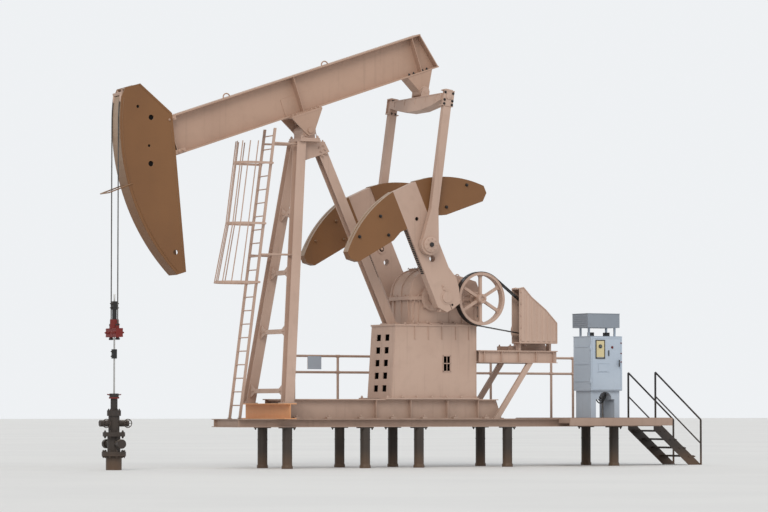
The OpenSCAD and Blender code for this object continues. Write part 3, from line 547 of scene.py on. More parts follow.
# Gearbox, cranks and pitmans
def gearbox_fittings():
    low, high = BOX["gearbox_housing"]
    half, split = 0.45, high.z
    joint = pair(split, 0.04)  # under and over the flanges where the halves meet
    p = Piece("gearbox_bolts")
    for x, y in product(steps(low.x + 0.03, high.x - 0.03, 0.19), BOTH):
        if abs(x - SHAFT.x) > 0.33 and abs(x - SHEAVE.x) > 0.19:  # clear of the bearings
            for z, axis in zip(joint, (DOWN, UP)):
                p.bolt((x, y * (half + 0.026), z), axis, 0.034)
    p.bolt_grid((low.x + 0.025, high.x - 0.025), steps(-0.36, 0.36, 0.18), joint[1], UP, 0.034)
    feet = steps(low.x + 0.08, high.x - 0.4, 0.35)
    p.bolt_grid(feet, pair(0, half + 0.045), low.z + 0.03, UP, 0.045)
    p.done()
    bearing_caps(half, split)
    p = Piece("gearbox_ribs")
    foot, top = low.z + 0.03, joint[0]
    rib = [(half, foot), (half + 0.045, foot), (half + 0.02, foot + 0.16), (half + 0.02, top - 0.12),
           (half + 0.05, top), (half, top)]
    for d, y in product((0.1, 0.24, 1.02, 1.35, 1.68), BOTH):
        p.rings([[(low.x + d + dx, y * b, z) for b, z in rib] for dx in (0, 0.018)])
    x = low.x + 0.05
    for y in steps(-0.32, 0.32, 0.32):
        p.plate(((x, foot), (x, top), (x - 0.035, top)), y - 0.009, y + 0.009)
    crown, lid = SHAFT.z + 0.66, (SHAFT.x - 0.13, SHAFT.x + 0.27)
    for y in (-0.37, 0.06):  # inspection covers and their rims
        p.box(lid, (y, y + 0.31), (crown - 0.06, crown + 0.02))
        rim = (lid[0] - 0.03, lid[1] + 0.03)
        p.box(rim, (y - 0.015, y + 0.325), (crown + 0.02, crown + 0.034))
    vent = [(0, 0.035), (0.07, 0.035), (0.08, 0.055), (0.12, 0.055), (0.135, 0.03)]
    p.turn((SHAFT.x + 0.07, -0.215, crown + 0.034), UP, vent, 20)
    for y in BOTH:  # lifting eyes
        eye = (SHAFT.x + 0.75, y * 0.3, SHAFT.z + 0.49)
        p.tube(arc(eye, 0.06, 0.07, steps(-0.3, pi + 0.3, 0.4)), 0.012)
    p.done(bevel=0.003)
    p = Piece("cover_bolts", slot="black_steel")
    along = steps(lid[0] - 0.01, lid[1] + 0.01, 0.105)
    p.bolt_grid(along, (-0.366, -0.056, 0.071, 0.366), crown + 0.034, UP, 0.018)
    p.done()
    p = Piece("oil_gauge", slot="bare_steel")
    x = high.x - 0.12
    for z in (low.z + 0.2, low.z + 0.4):
        p.turn((x, -half, z), NEAR, [(0, 0.02), (0.03, 0.02), (0.035, 0.012)], 6)
    p.tube([(x, -half - 0.022, low.z + 0.18), (x, -half - 0.022, low.z + 0.42)], 0.009, 12)
    p.done()


def bearing_caps(half, split):
    """Round caps on the gearbox's sides, at its half width, and the lugs that join its halves."""
    low_shaft = [(0, 0.134), (0, 0.29), (0.085, 0.29), (0.105, 0.26), (0.115, 0.17), (0.115, 0.134)]
    high_shaft = [(0, 0.054), (0, 0.16), (0.08, 0.16), (0.1, 0.14), (0.1, 0.054)]
    middle_shaft = [(0, 0.19), (0.08, 0.19), (0.1, 0.165), (0.105, 0.02)]
    middle = (SHAFT.x + SHEAVE.x) / 2 + 0.08
    p = Piece("gearbox_caps")
    for y in BOTH:
        root, face, out = y * (half - 0.03), y * (half + 0.058), (0, y, 0)
        p.turn(SHAFT + FAR * root, out, low_shaft, 44, loop=True)
        p.bolt_ring(SHAFT + FAR * y * (half + 0.062), out, 0.235, 10, 0.032, 0.3)
        p.turn((SHEAVE.x, root, SHEAVE.z), out, high_shaft, 32, loop=True)
        p.bolt_ring((SHEAVE.x, face, SHEAVE.z), out, 0.115, 6, 0.024)
        p.turn((middle, root, SHAFT.z), out, middle_shaft, 32)
        p.bolt_ring((middle, face, SHAFT.z), out, 0.14, 6, 0.026)
        for x in (SHAFT.x - 0.24, SHAFT.x + 0.2):
            p.box((x, x + 0.04), span(y, half - 0.03, half + 0.06), pair(split, 0.22))
    p.done(bevel=0.002)


def crank_fittings():
    out = (BOX["cranks"][1].y - BOX["cranks"][0].y) / 2 - 0.015  # a crank's outer face
    thick, half = 0.2, 0.31
    big_hole, small_hole = CRANK_R - 0.33, CRANK_R + 0.63
    teeth = Piece("crank_racks", "crank", "black_steel", ON_CRANK)
    bolts = Piece("crank_bolts", "crank", place=ON_CRANK)
    ends = Piece("shaft_ends", "crank", place=ON_CRANK)
    # Painted shade: dark sheets and discs where the crank's slit and holes would be in shade
    dark = Piece("crank_hole_shade", "crank", "black_steel", ON_CRANK)
    for y in BOTH:
        outward, inward = (0, y, 0), (0, -y, 0)
        middle = y * (out - thick / 2)
        for s, z in product(BOTH, steps(0.72, 1.74, 0.045)):
            a, b = s * half, s * (half + 0.022)
            rack = [(a, z - 0.015), (b, z - 0.009), (b, z + 0.009), (a, z + 0.015)]
            teeth.plate(rack, middle - 0.05, middle + 0.05)
        # Clamp: a slit from the bore to the crank's end, drawn together by two bolts; the slit and a small hole
        # beside it are painted shade, dark sheets in the crank's face
        dark.box((-0.006, 0.006), span(y, out - 0.01, out + 0.0015), (-0.285, -0.131))
        dark.disc((0.05, y * (out - 0.002), -0.205), outward, 0.026, 0.004)
        for dy in (0.055, 0.145):
            bolts.bolt((0.271, y * (out - dy), -0.19), (0.98, 0, -0.19), 0.055)
            bolts.bolt((-0.241, y * (out - dy), -0.19), (-0.745, 0, -0.667), 0.055)
        # The shaft's key and end, and rims round the crank's holes
        bolts.box((-0.028, 0.028), span(y, out, out + 0.01), (0.145, 0.3))
        bolts.bolt_grid(0, y * (out + 0.01), (0.18, 0.265), outward, 0.024)
        ends.turn((0, y * (out + 0.014), 0), outward, [(0, 0.127), (0.01, 0.122), (0.01, 0.02)], 36)
        ends.band((0, y * (out - 0.001), 0), outward, 0.165, 0.132, 0.009, 36)
        for hole, r in ((big_hole, 0.075), (small_hole, 0.045)):
            ends.band((0, y * (out - 0.004), hole), outward, r + 0.012, r, 0.007, 28)
        # Painted shade: a dark disc in the small hole, so nothing shows through it
        dark.disc((0, y * (out - 0.03), small_hole), outward, 0.044, 0.006)
        # The wrist pin's end on the crank's inner side, and its seat on the outer; the pin's bore round its end is
        # a dark disc of painted shade
        inner = (0, y * (out - thick + 0.001), CRANK_R)
        ends.band(inner, inward, 0.11, 0.062, 0.016, 28)
        dark.disc(inner, inward, 0.06, 0.012)
        ends.turn(inner, inward, [(0, 0.034), (0.04, 0.034), (0.046, 0.026)], 6)
        ends.band((0, y * out, CRANK_R), outward, 0.135, 0.12, 0.014, 32)
    for p in (teeth, bolts, ends):
        p.done()
    dark.done(material=PAINTED_SHADE)
    p = Piece("weight_bolts", "crank", "black_steel", ON_CRANK)
    nuts = Piece("weight_nuts", "crank", "brown_paint", ON_CRANK)
    rim = 2.702  # the weights' outer edge from the shaft, with its weld
    for y, s in product(BOTH, BOTH):
        for x, z in ((0.83, 2.31), (1.5, 2.1), (0.81, 1.85)):
            p.bolt((s * x, y * (out - 0.012), z), (0, y, 0), 0.058)
            nuts.bolt((s * x, y * (out - 0.208), z), (0, -y, 0), 0.058)
        angles = [radians(a) for a in steps(12.0, 40.0, 2.0)]
        nuts.tube([(s * rim * sin(a), y * (out - 0.11), rim * cos(a)) for a in angles], 0.006, 6)
    nuts.done()
    p.done()


def pitman_fittings():
    outer = BOX["pitmans"][1].y - 0.012
    inner, foot = outer - 0.13, -PITMAN_L
    cap = [(0, 0.175), (0.03, 0.175), (0.045, 0.15), (0.05, 0.06)]
    caps = Piece("pitman_caps", "pitman", place=ON_PITMAN)
    bolts = Piece("pitman_bolts", "pitman", "black_steel", ON_PITMAN)
    for y in BOTH:
        out = (0, y, 0)
        caps.turn((0, y * outer, foot), out, cap, 36)
        caps.bolt_ring((0, y * (outer + 0.035), foot), out, 0.13, 8, 0.026)
        nut = [(0, 0.055), (0.035, 0.055), (0.045, 0.045)]
        bolts.turn((0, y * (outer + 0.045), foot), out, nut, 6)
        bolts.bolt_grid(pair(0, 0.1), y * (outer + 0.012), (-0.4, -0.31, -0.14), out, 0.034)
        bolts.bolt_grid(pair(0, 0.05), y * inner, (-0.12, -0.42), (0, -y, 0), 0.034)
        for z in (-0.43, -0.09):
            caps.box(pair(0, 0.135), span(y, inner - 0.01, outer + 0.016), pair(z, 0.012))
        boss = [(0, 0.07), (0.185, 0.07), (0.195, 0.055)]
        caps.turn((0, y * (inner - 0.03), -0.225), out, boss, 24)
        heights = (foot + 0.85, foot / 2, -0.45)
        for s in BOTH:  # welded edges of the box-section bar
            caps.tube([(s * 0.09, y * (outer - 0.005), z) for z in heights], 0.006, 6)
    caps.done(bevel=0.002)
    bolts.done()
    p = Piece("equalizer_trim", "pitman", place=ON_PITMAN)
    for s in BOTH:
        face = span(s, 0.125, 0.133)
        p.box(face, (-1.09, 1.09), (-0.175, -0.155))
        for y in steps(-0.95, 0.95, 0.475):
            p.box(face, pair(y, 0.008), (-0.3, -0.16))
    p.done(bevel=0.002)
    p = Piece("tail_caps", "beam", place=turned(TAIL, -BEAM_TILT))
    for y in BOTH:
        p.turn((0, y * 0.17, 0), (0, y, 0), [(0, 0.115), (0.012, 0.11), (0.012, 0.06)], 32)
    p.tube([(0.13, -0.1, 0.02), (0.2, -0.1, 0.1), (0.24, -0.13, 0.3), (0.25, -0.14, 0.41)], 0.008)
    p.done()


# Drive
def belt_fittings():
    """Five V-belts in a row on the sheave and the pulley, in place of the CAD's flat one."""
    near = BOX["drive_belt"][0].y
    between = Vector((PULLEY.x - SHEAVE.x, PULLEY.z - SHEAVE.z))
    r1, r2 = 0.6 + 0.009, 0.16 + 0.009  # the sheave and the pulley, to the belts' middle
    lift, slope = acos((r1 - r2) / between.length), atan2(between.y, between.x)
    round_sheave = steps(slope + lift, slope + 2 * pi - lift, 0.07)
    path = arc(SHEAVE, r1, r1, round_sheave)
    path += arc(PULLEY, r2, r2, steps(slope - lift, slope + lift, 0.2))
    path = [Vector((x, z)) for x, _, z in path]
    section = ((-0.0115, 0.008), (0.0115, 0.008), (0.0085, -0.0075), (-0.0085, -0.0075))
    p = Piece("v_belts", slot="belt_rubber")
    for k in range(5):
        y = near + 0.016 + 0.032 * k
        rings = []
        for i, at in enumerate(path):
            along = path[(i + 1) % len(path)] - path[i - 1]
            out = Vector((along.y, -along.x)).normalized()
            rings.append([(at.x + out.x * n, y + m, at.y + out.y * n) for m, n in section])
        p.rings(rings, loop=True)
    belts = p.done(smooth=50)
    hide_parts("drive_belt")


def drive_fittings():
    belt_fittings()
    p = Piece("sheave_trim", "sheave", place=Matrix.Translation(SHEAVE))
    hub = [(0, 0.052), (0, 0.11), (0.03, 0.1), (0.03, 0.052)]
    fillet = [(0.49, 0.03), (0.541, 0.075), (0.541, -0.075), (0.49, -0.03)]
    for s in BOTH:
        out = (0, s, 0)
        p.turn((0, s * 0.085, 0), out, hub, 32, loop=True)
        p.band((0, s * 0.0845, 0), out, 0.598, 0.585, 0.006, 96)
        p.bolt_ring((0, s * 0.112, 0), out, 0.077, 3, 0.022)
        for k in range(6):  # fillets where the spokes meet the rim
            a = radians(60 * k + 30)
            c, t = cos(a), sin(a)
            shape = [(c * r + t * e, -t * r + c * e) for r, e in fillet]
            p.plate(shape, s * 0.005, s * 0.028)
    for k in range(4):  # ridges between the belts' grooves
        p.band((0, -0.07 + 0.0427 * k, 0), FAR, 0.601, 0.5985, 0.012, 96)
    p.done()
    p = Piece("motor_trim", place=AT_MOTOR)
    fins, tip, root, t = 36, 0.268, 0.236, 0.004
    fin = ((root, -t), (tip, -t), (tip, t), (root, t))
    for i in range(fins):
        c, s = cos(2 * pi * i / fins), sin(2 * pi * i / fins)
        if abs(s) < 0.93:  # clear of the feet and the terminal box
            p.plate([(c * r - s * e, s * r + c * e) for r, e in fin], -0.3, 0.12)
    p.turn((0, -0.42, 0), NEAR, [(0, 0.2), (0.03, 0.19), (0.05, 0.09), (0.05, 0.032)], 32)
    p.turn((0, 0.2, 0), FAR, [(0, 0.255), (0.12, 0.255), (0.15, 0.22), (0.155, 0.05)], 36)
    for r in (0.08, 0.13, 0.18):
        p.band((0, 0.352, 0), FAR, r, r - 0.02, 0.008, 32)
    p.bolt_grid(pair(0, 0.2), (-0.33, 0.15), -0.14, UP, 0.03)
    p.box((-0.125, 0.125), (-0.265, 0.065), (0.318, 0.326))
    p.done(bevel=0.002)
    guard_fittings()


def guard_fittings():
    near = BOX["belt_guard"][0].y
    far = near + 0.32
    edge = [(-0.725, 0.94), (-0.62, 0.96), (-0.405, 0.74), (-0.03, 0.46), (0.27, 0.16)]

    def roof(x):
        """Height of the guard's sloping top over the motor's axis."""
        for (x0, z0), (x1, z1) in zip(edge, edge[1:]):
            if x0 <= x <= x1:
                return z0 + (z1 - z0) * (x - x0) / (x1 - x0)
        return edge[-1][1]

    p = Piece("guard_corrugations", place=AT_MOTOR)
    ridge = ((-0.045, 0), (-0.03, 0.014), (0.03, 0.014), (0.045, 0))
    for x in steps(-0.64, 0.2, 0.14):
        for y, out in ((near, -1), (far, 1)):
            if out > 0 and abs(x) < 0.09:  # the motor's shaft comes in here
                continue
            heights = (-0.26, roof(x) - 0.05)
            p.rings([[(x + dx, y + out * dy, z) for dx, dy in ridge] for z in heights])
    p.done()
    p = Piece("guard_frame", place=AT_MOTOR)
    path = [(-0.725, -0.3), *edge, (0.27, -0.3)]
    for y in (near - 0.002, far + 0.002):
        for (x0, z0), (x1, z1) in zip(path, path[1:] + path[:1]):
            p.tube([(x0, y, z0), (x1, y, z1)], 0.014, 6)
    p.bolt_grid(-0.70, near - 0.002, steps(-0.22, 0.86, 0.27), NEAR, 0.022)
    p.done()


# Frames and access
def base_fittings():
    p = Piece("base_clamps")
    low, high = BOX["base_frame"]
    deck_top, thick = BOX["pile_frame"][1].z, 0.045
    for x, y in product(steps(low.x + 0.2, high.x - 0.5, 0.75), BOTH):
        p.box(pair(x, 0.06), span(y, 0.585, 0.69), (deck_top, deck_top + thick))
        p.bolt((x, y * 0.65, deck_top + thick), UP, 0.045)
    low, high = BOX["pedestal"]
    p.bolt_grid(steps(low.x + 0.06, high.x - 0.06, 0.38), pair(0, 0.6), low.z + 0.03, UP, 0.045)
    p.done(bevel=0.002)
    p = Piece("pile_bolts", slot="black_steel")
    plate = BOX["piles"][1].z - 0.025
    rows = [REACH - 0.73, REACH + 1.21] + [SHAFT.x + d for d in (-0.42, 1.89, 4.77)]
    for x, y in product(rows, BOTH):
        p.bolt_grid(pair(x, 0.135), y * 0.68, plate, DOWN, 0.034)
        p.turn((x, y * 0.6, 0), UP, [(0, 0.125), (0.05, 0.125), (0.08, 0.112)], 24)
        p.turn((x, y * 0.6, 0.62), UP, [(0, 0.113), (0.012, 0.116), (0.024, 0.113)], 24)
    p.done()


def pedestal_fittings():
    low, high = BOX["pedestal"]
    half, top = 0.55, high.z - 0.04
    front, rear = low.x + 0.18, high.x - 0.03
    window, middle, opening = front + 1.43, 2.33, 0.18
    p = Piece("pedestal_trim")
    for y in BOTH:
        side, face = y * half, span(y, half, half + 0.014)
        for x, width in ((-0.105, 0.02), (0.085, 0.02), (-0.006, 0.012)):  # frame and cross bars
            p.box((window + x, window + x + width), face, pair(middle, 0.185))
        for z in (middle - 0.185, middle + 0.165, middle - 0.006):
            p.box(pair(window, 0.105), face, (z, z + 0.02))
        p.bolt_grid(steps(front + 0.35, rear - 0.2, 0.3), y * (half + 0.002), top + 0.04, UP, 0.036)
        foot = low.z + 0.03
        p.tube([(front + 0.005, side, foot), (front + 0.115, side, top)], 0.009, 6)
        p.tube([(rear, side, foot), (rear, side, top)], 0.009, 6)
        p.tube([(front, side, foot + 0.006), (rear, side, foot + 0.006)], 0.01, 6)
    p.done(bevel=0.002)
    # Painted shade: dark linings behind the holes, where the pedestal's inside is in shade; their front edges lean
    # back with the pedestal's front
    p = Piece("pedestal_shade_linings", slot="black_steel")
    base, roof, back, depth = low.z + 0.032, top - 0.002, rear - 0.03, half - 0.03
    sill, head = pair(middle, opening)
    for y in BOTH:
        wall = span(y, half - 0.026, half - 0.022)
        for z0, z1, end in ((base, sill, back), (sill, head, window - 0.1), (head, roof, back)):
            f0, f1 = (front + 0.035 + 0.067 * (z - base) for z in (z0, z1))
            p.plate([(f0, z0), (end, z0), (end, z1), (f1, z1)], *wall)
        p.box((window + 0.1, back), wall, (sill, head))
    p.box((back, back + 0.004), (-depth, depth), (base, roof))
    p.box((front + 0.04, back), (-depth, depth), (base, base + 0.004))
    p.done(material=PAINTED_SHADE)


def platform_fittings():
    low, high = BOX["deck"]
    inset = 0.02
    p = Piece("deck_grating")
    for x in steps(low.x + inset, high.x - inset, 0.06):
        p.box(pair(x, 0.003), (low.y + 0.01, high.y - 0.01), (high.z, high.z + 0.008))
    for y in steps(low.y + inset, high.y - inset, 0.2):
        p.box((low.x + inset, high.x - inset), pair(y, 0.003), (high.z, high.z + 0.006))
    p.done()
    low, high = BOX["motor_platform"]
    p = Piece("platform_trim")
    for x, y in product(steps(low.x + 0.12, high.x - 0.1, 0.45), BOTH):
        p.box(pair(x, 0.006), span(y, 0.65, 0.695), (low.z + 0.014, high.z - 0.136))
    p.bolt_grid((PULLEY.x - 0.66, PULLEY.x + 0.27), (-0.33, 0.15), high.z, UP, 0.034)
    p.done(bevel=0.002)


def rail_fittings():
    foot, top = (corner.z for corner in BOX["guard_rail"])
    rail_y = 1.75
    posts = [REACH + 0.65, REACH + 1.776] + [SHAFT.x + d for d in (0.8, 2.857, 4.53, 5.14)]
    p = Piece("rail_fittings")
    for x in posts:
        for z in (top - 0.028, top - 0.398):
            p.band((x - 0.05, rail_y, z), (1, 0, 0), 0.034, 0.027, 0.1, 16)
        p.band((x, rail_y, foot + 0.05), UP, 0.05, 0.029, 0.02, 16)
        p.bolt_grid(pair(x, 0.02), rail_y + 0.032, foot + 0.025, FAR, 0.018)
    p.done()
    p = Piece("rail_plate", slot="pale_paint")
    p.box((REACH + 0.974, REACH + 1.326), (1.70, 1.7045), (top - 0.332, top - 0.034))
    p.bolt_grid((REACH + 1.0, REACH + 1.3), 1.70, (top - 0.31, top - 0.06), NEAR, 0.012)
    p.done(bevel=0.001)


def stair_fittings():
    low, high = BOX["stair"]
    start, top = BOX["pile_frame"][1].x, BOX["pile_frame"][1].z - 0.1
    run, treads = 1.18, 4
    p = Piece("tread_bars", slot="black_steel")
    for i in range(1, treads + 1):
        x = start + run * (i - 0.5) / (treads + 0.5)
        z = top * (1 - i / (treads + 1)) + 0.015
        for y in steps(low.y + 0.04, high.y - 0.04, 0.04):
            p.box((x + 0.01, x + 0.235), pair(y, 0.0025), (z, z + 0.012))
        p.box((x, x + 0.012), (low.y + 0.015, high.y - 0.015), (z - 0.004, z + 0.014))
        for y, axis in ((low.y, NEAR), (high.y, FAR)):
            p.bolt_grid((x + 0.06, x + 0.19), y, z - 0.015, axis, 0.022)
    p.done()


def ladder_fittings():
    foot, slope = Vector((REACH - 1.716, 0, BOX["ladder"][0].z)), radians(7.6)
    p = Piece("ladder_clips", place=turned(foot, slope))
    for z, y in product((3.02, 4.33, 5.68), BOTH):
        p.box(pair(0, 0.034), span(y, 0.232, 0.268), pair(z, 0.035))
        p.bolt_grid(-0.034, y * 0.25, pair(z, 0.018), (-1, 0, 0), 0.014)
    for y in BOTH:
        p.box(pair(0, 0.05), span(y, 0.225, 0.275), (0.006, 0.02))
    p.done(bevel=0.0015)


# Control cabinet
DOOR_LOW, DOOR_HIGH = (corner.z for corner in BOX["cabinet_door"])
CABINET_LEFT, CABINET_RIGHT = SHAFT.x + 4.28, SHAFT.x + 5.15
CABINET_TOP = DOOR_HIGH + 0.008


def door_fittings():
    z0, z1, front = DOOR_LOW, DOOR_HIGH, -0.39
    x0, x1 = CABINET_LEFT + 0.008, CABINET_RIGHT - 0.008
    face, panel, frame_face = ((front - proud, front) for proud in (0.006, 0.012, 0.016))
    door = Piece("door_trim", "door", "pale_paint")
    for x in (x0 + 0.03, x1 - 0.042):
        door.box((x, x + 0.012), face, (z0 + 0.03, z1 - 0.03))
    for z in (z0 + 0.025, z1 - 0.037):
        door.box((x0 + 0.042, x1 - 0.042), face, (z, z + 0.012))
    for z in (z0 + 0.42, z0 + 0.62):  # ledges under and over a blank plate
        door.box((x0 + 0.16, x0 + 0.5), face, (z, z + 0.008))
    door.box((x0 + 0.2, x0 + 0.44), (front - 0.008, front), (z0 + 0.44, z0 + 0.6))
    door.done(bevel=0.001)
    left, right, gauge = x0 + 0.14, x0 + 0.355, (x0 + 0.245, z0 + 1.02)
    p = Piece("control_panel", "door", "pale_paint")
    p.box((left, right), panel, (z0 + 0.77, z0 + 1.15))
    p.done(material=CREAM, bevel=0.002)
    p = Piece("panel_frame", "door", "black_steel")
    for x in (left - 0.02, right):
        p.box((x, x + 0.02), frame_face, (z0 + 0.735, z0 + 1.17))
    for z in (z0 + 0.735, z0 + 1.15):
        p.box((left, right), frame_face, (z, z + 0.02))
    dial = [(0, 0.045), (0.014, 0.045), (0.022, 0.02)]
    p.turn((gauge[0], front - 0.012, gauge[1]), NEAR, dial, 24)
    handle = [(-0.08, 0.008), (-0.075, 0.014), (0.075, 0.014), (0.08, 0.008)]
    p.turn((x1 - 0.105, front - 0.04, z0 + 0.63), UP, handle, 12)
    p.box((x0 + 0.47, x0 + 0.49), (front - 0.02, front), (z0 + 0.8, z0 + 0.93))
    p.done(bevel=0.001)
    p = Piece("panel_glass", "door", "bare_steel")
    p.disc((gauge[0], front - 0.034, gauge[1]), NEAR, 0.03, 0.003, 24)
    p.done(material=GLASS)
    p = Piece("buttons", "door", "red_paint")
    knob = [(0, 0.03), (0.01, 0.03), (0.01, 0.022), (0.024, 0.02)]
    p.turn((x0 + 0.58, front, z0 + 1.0), NEAR, knob, 20)
    for z in (z0 + 0.66, z0 + 0.86, z0 + 1.1):
        p.turn((x1 - 0.03, front, z), NEAR, [(0, 0.017), (0.012, 0.017), (0.018, 0.01)], 12)
    p.done()


def cabinet_fittings():
    left, right, top = CABINET_LEFT, CABINET_RIGHT, CABINET_TOP
    roof = BOX["cabinet_body"][1].z
    p = Piece("cabinet_trim", slot="pale_paint")
    p.box((left - 0.012, right + 0.012), (-0.372, 0.372), (top, top + 0.012))
    for z in (DOOR_LOW + 0.2, DOOR_LOW + 0.6, DOOR_LOW + 1.0):
        p.box((left - 0.008, left), (-0.3, 0.3), (z, z + 0.02))
    p.done(bevel=0.002)
    p = Piece("hood_trim", slot="pale_paint")
    x0, x1 = left - 0.06, right - 0.06
    for k in range(5):  # louvres
        z = top + 0.26 + 0.05 * k
        p.box((x0 - 0.008, x0), (-0.3, 0.24), (z, z + 0.022))
        p.box((x0 + 0.08, x1 - 0.08), (0.3, 0.308), (z, z + 0.022))
    p.box((x0 - 0.012, x1 + 0.012), (-0.372, 0.312), (roof, roof + 0.01))
    p.box((x0 - 0.003, x1 + 0.003), (-0.363, 0.303), (top + 0.208, roof))
    p.done(material=HOOD, bevel=0.002)
    cable_fittings(left, (left + right) / 2 - 0.02, top)


def cable_fittings(left, middle, top):
    """Conduits down to the deck, and leads looped under the cabinet between their glands."""
    under = DOOR_LOW
    p = Piece("cabinet_conduit", slot="bare_steel")
    for x, y in ((left + 0.24, 0.12), (left + 0.42, 0.18), (left + 0.6, 0.05)):
        p.tube([(x, y, under + 0.01), (x, y, BOX["deck"][1].z + 0.01)], 0.022, 12)
        p.band((x, y, under - 0.06), UP, 0.034, 0.022, 0.05, 12)
    p.done()
    leads = Piece("cabinet_leads", slot="belt_rubber")
    glands = Piece("cabinet_glands", slot="black_steel")
    for k in range(3):
        reach, dip, y = 0.1 + 0.03 * k, 0.2 + 0.05 * k, -0.2 + 0.03 * k
        leads.tube(arc((middle, y, under + 0.004), reach, -dip, steps(0.0, pi, 0.22)), 0.015, 10)
        for x in pair(middle, reach):
            glands.turn((x, y, under + 0.002), DOWN, [(0, 0.02), (0.02, 0.02), (0.026, 0.016)], 6)
    for x in (left + 0.53, left + 0.1):
        glands.box((x, x + 0.1), (-0.22, -0.08), (top + 0.012, top + 0.1))
    leads.done()
    glands.done(bevel=0.002)


# Well, rod and wires
def well_fittings():
    p = Piece("well_bolts", slot="black_steel")
    for z, r, n in ((0.3, 0.225, 10), (0.72, 0.205, 8)):
        p.bolt_ring((0, 0, z + 0.09), UP, r, n, 0.036)
        p.bolt_ring((0, 0, z), DOWN, r, n, 0.036)
        p.band((0, 0, z + 0.04), UP, r + 0.037, r + 0.02, 0.01, 40)
    p.bolt_ring((0, 0, 1.28), UP, 0.115, 6, 0.03)
    for y in BOTH:
        p.bolt_ring((0, y * 0.4, 0.56), (0, y, 0), 0.08, 6, 0.022)
    p.done()
    p = Piece("well_valves", slot="black_steel")
    bonnet = [(0, 0.05), (0.05, 0.05), (0.06, 0.018), (0.12, 0.018)]
    for x in BOTH:
        at = Vector((x * 0.25, 0, 1.0))
        p.turn(at + NEAR * 0.06, NEAR, bonnet, 16)
        hub = at + NEAR * 0.17
        p.tube(arc(hub, 0.09, 0.09, steps(0, 2 * pi, 0.3)), 0.01, 6)  # a handwheel
        for k in range(3):
            a = pi * k / 3
            spoke = Vector((0.088 * cos(a), 0, 0.088 * sin(a)))
            p.tube([hub - spoke, hub + spoke], 0.006, 6)
    p.done()
    p = Piece("gland", slot="red_paint")
    top = BOX["stuffing_box"][1].z
    p.band((0, 0, top - 0.11), UP, 0.112, 0.098, 0.03, 32)
    for s in BOTH:
        handle = [(s * 0.09, 0, top - 0.03), (s * 0.1, 0, top - 0.03), (s * 0.16, 0, top - 0.02)]
        p.tube(handle, 0.013, 8)
    p.done()


def rod_fittings():
    low = BOX["carrier_bar"][0].z
    half = 0.08
    p = Piece("carrier_trim", "rod", "red_paint")
    for x in BOTH:
        p.bolt_grid(x * half, (-0.225, -0.1, 0.1, 0.225), low + 0.155, (x, 0, 0), 0.04)
        for z in (low + 0.07, low + 0.22):
            p.box(span(x, half, half + 0.006), (-0.265, 0.265), (z, z + 0.02))
    p.done(bevel=0.002)
    p = Piece("rope_sockets", "rod", "black_steel")
    for y in pair(0, ROPE_Y):
        p.band((0, y, low + 0.004), UP, 0.05, 0.037, 0.035, 6)
        p.band((0, y, low + 0.31), UP, 0.045, 0.037, 0.03, 20)
    foot, top = (corner.z for corner in BOX["rod_clamps"])
    for x in BOTH:
        p.bolt_grid(x * 0.055, pair(0, 0.033), (top - 0.14, top - 0.05), (x, 0, 0), 0.03)
    p.bolt_grid(-0.045, pair(0, 0.026), (foot + 0.05, foot + 0.15), (-1, 0, 0), 0.024)
    p.done()


def stretching(piece, node, material):
    """A piece that spans two bodies: it rides on neither, set in the world frame, and the CAD node it replaces is
    hidden.
    """
    made = piece.done(material=material, ride=False)
    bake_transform(made)
    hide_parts(node)


def wires():
    lay = 34.0  # turn of the strands, in radians a metre
    radius, strands = 0.014, 6
    low, high = BOX["wirelines"]
    for side, y in (("near", -ROPE_Y), ("far", ROPE_Y)):
        p = Piece(f"wire_{side}", "rod", "bare_steel")
        path = [(0, y, z) for z in steps(low.z - 0.1, high.z, 0.012)]
        p.tube(path, radius, 18, strands, lay)
        stretching(p, "wirelines", ROPE)
        p = Piece(f"wire_wrap_{side}", "beam", "bare_steel")
        angles = [radians(a) for a in steps(0.0, 6.5, 0.06)]
        path = [SADDLE + Vector((-REACH * cos(a), y, REACH * sin(a))) for a in angles]
        p.tube(path, radius, 12, strands, lay)
        stretching(p, "wireline_wrap", ROPE)
    low, high = BOX["polished_rod"]
    p = Piece("polished_rod_shown", "rod", "bare_steel")
    length = high.z - low.z
    profile = [(d, 0.019) for d in steps(0, length - 0.01, 0.2)] + [(length, 0.014)]
    p.turn((0, 0, low.z), UP, profile, 24)
    stretching(p, "polished_rod", POLISHED)


# Stage
def floor():
    size = 400.0
    data = bpy.data.meshes.new("floor")
    corners = [(-size, -size, 0), (size, -size, 0), (size, size, 0), (-size, size, 0)]
    data.from_pydata(corners, [], [(0, 1, 2, 3)])
    ground = bpy.data.objects.new("floor", data)
    bpy.context.scene.collection.objects.link(ground)
    g = Finish("pale floor")
    patches = g.between(g.noise(0.15, 4.0), 0.3, 0.7, 0.5)
    tone = g.mix(patches, srgb(226, 226, 224), srgb(216, 216, 215))
    data.materials.append(g.done(tone, 0.85))


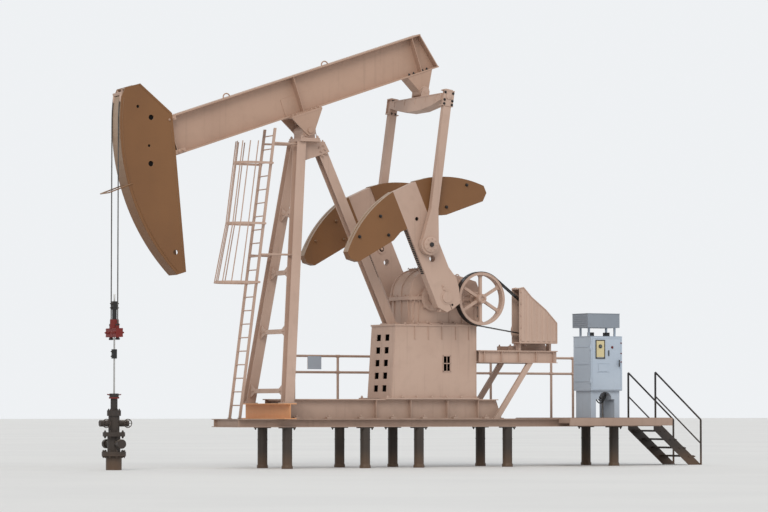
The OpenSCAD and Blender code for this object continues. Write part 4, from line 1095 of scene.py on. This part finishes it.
def sky():
    """Soft light from all round, and a pale backdrop where the sky itself is seen."""
    world = bpy.data.worlds.new("studio")
    bpy.context.scene.world = world
    world.use_nodes = True
    g = Graph(world.node_tree)
    rays = g.node("ShaderNodeLightPath").outputs
    seen = g.math("MAXIMUM", rays["Is Camera Ray"], rays["Is Glossy Ray"])
    seen = g.math("MAXIMUM", seen, rays["Is Transmission Ray"])
    light = g.tree.nodes["Background"]
    g.put(light.inputs["Color"], (0.95, 0.97, 1.0, 1))
    g.put(light.inputs["Strength"], 0.62)
    backdrop = g.node("ShaderNodeBackground", {"Color": (0.86, 0.88, 0.9, 1), "Strength": 1.0})
    inputs = {0: seen, 1: light.outputs[0], 2: backdrop.outputs[0]}
    mixed = g.node("ShaderNodeMixShader", inputs).outputs[0]
    g.put(g.tree.nodes["World Output"].inputs["Surface"], mixed)


def sun(name, strength, angle, toward, colour):
    lamp = bpy.data.lights.new(name, "SUN")
    lamp.energy, lamp.angle, lamp.color = strength, radians(angle), colour
    made = bpy.data.objects.new(name, lamp)
    made.rotation_euler = Vector(toward).to_track_quat("-Z", "Y").to_euler()
    bpy.context.scene.collection.objects.link(made)


def stage():
    floor()
    sky()
    sun("key", 1.4, 34, (0.62, 0.78, -0.8), (1.0, 0.95, 0.88))
    sun("fill", 0.45, 40, (-0.9, 0.5, -0.5), (0.9, 0.94, 1.0))
    bpy.context.scene.view_settings.view_transform = "Standard"


def camera():
    """The photograph's viewpoint, with a longer lens so that the unit fills the frame."""
    distance, bearing, eye = 71.0, radians(27.5), 1.27
    aim = Vector((6.62, 0.0, 4.75))
    lens = bpy.data.cameras.new("camera")
    made = bpy.data.objects.new("camera", lens)
    bpy.context.scene.collection.objects.link(made)
    made.location = (REACH - distance * sin(bearing), -distance * cos(bearing), eye)
    made.rotation_euler = (aim - made.location).to_track_quat("-Z", "Y").to_euler()
    lens.sensor_width, lens.lens, lens.clip_end = 36.0, 150.0, 2000.0
    bpy.context.scene.camera = made


def dress_nodes():
    """Gives each CAD node the procedural material of its slot, or its own finish."""
    own = dict.fromkeys(("walking_beam", "saddle_bracket", "tail_bearing"), BEAM)
    own["crankshaft"] = MATERIAL["beige_paint"]
    for subpart in frame["record"]["subparts"]:
        name = subpart["node"]
        for slot in NODES[name].material_slots:
            slot.material = own.get(name, MATERIAL[subpart["material_slot"]])


dress_nodes()
beam_fittings()
head_fittings()
post_fittings()
gearbox_fittings()
crank_fittings()
pitman_fittings()
drive_fittings()
base_fittings()
pedestal_fittings()
platform_fittings()
rail_fittings()
door_fittings()
cabinet_fittings()
stair_fittings()
ladder_fittings()
well_fittings()
rod_fittings()
wires()
stage()
camera()
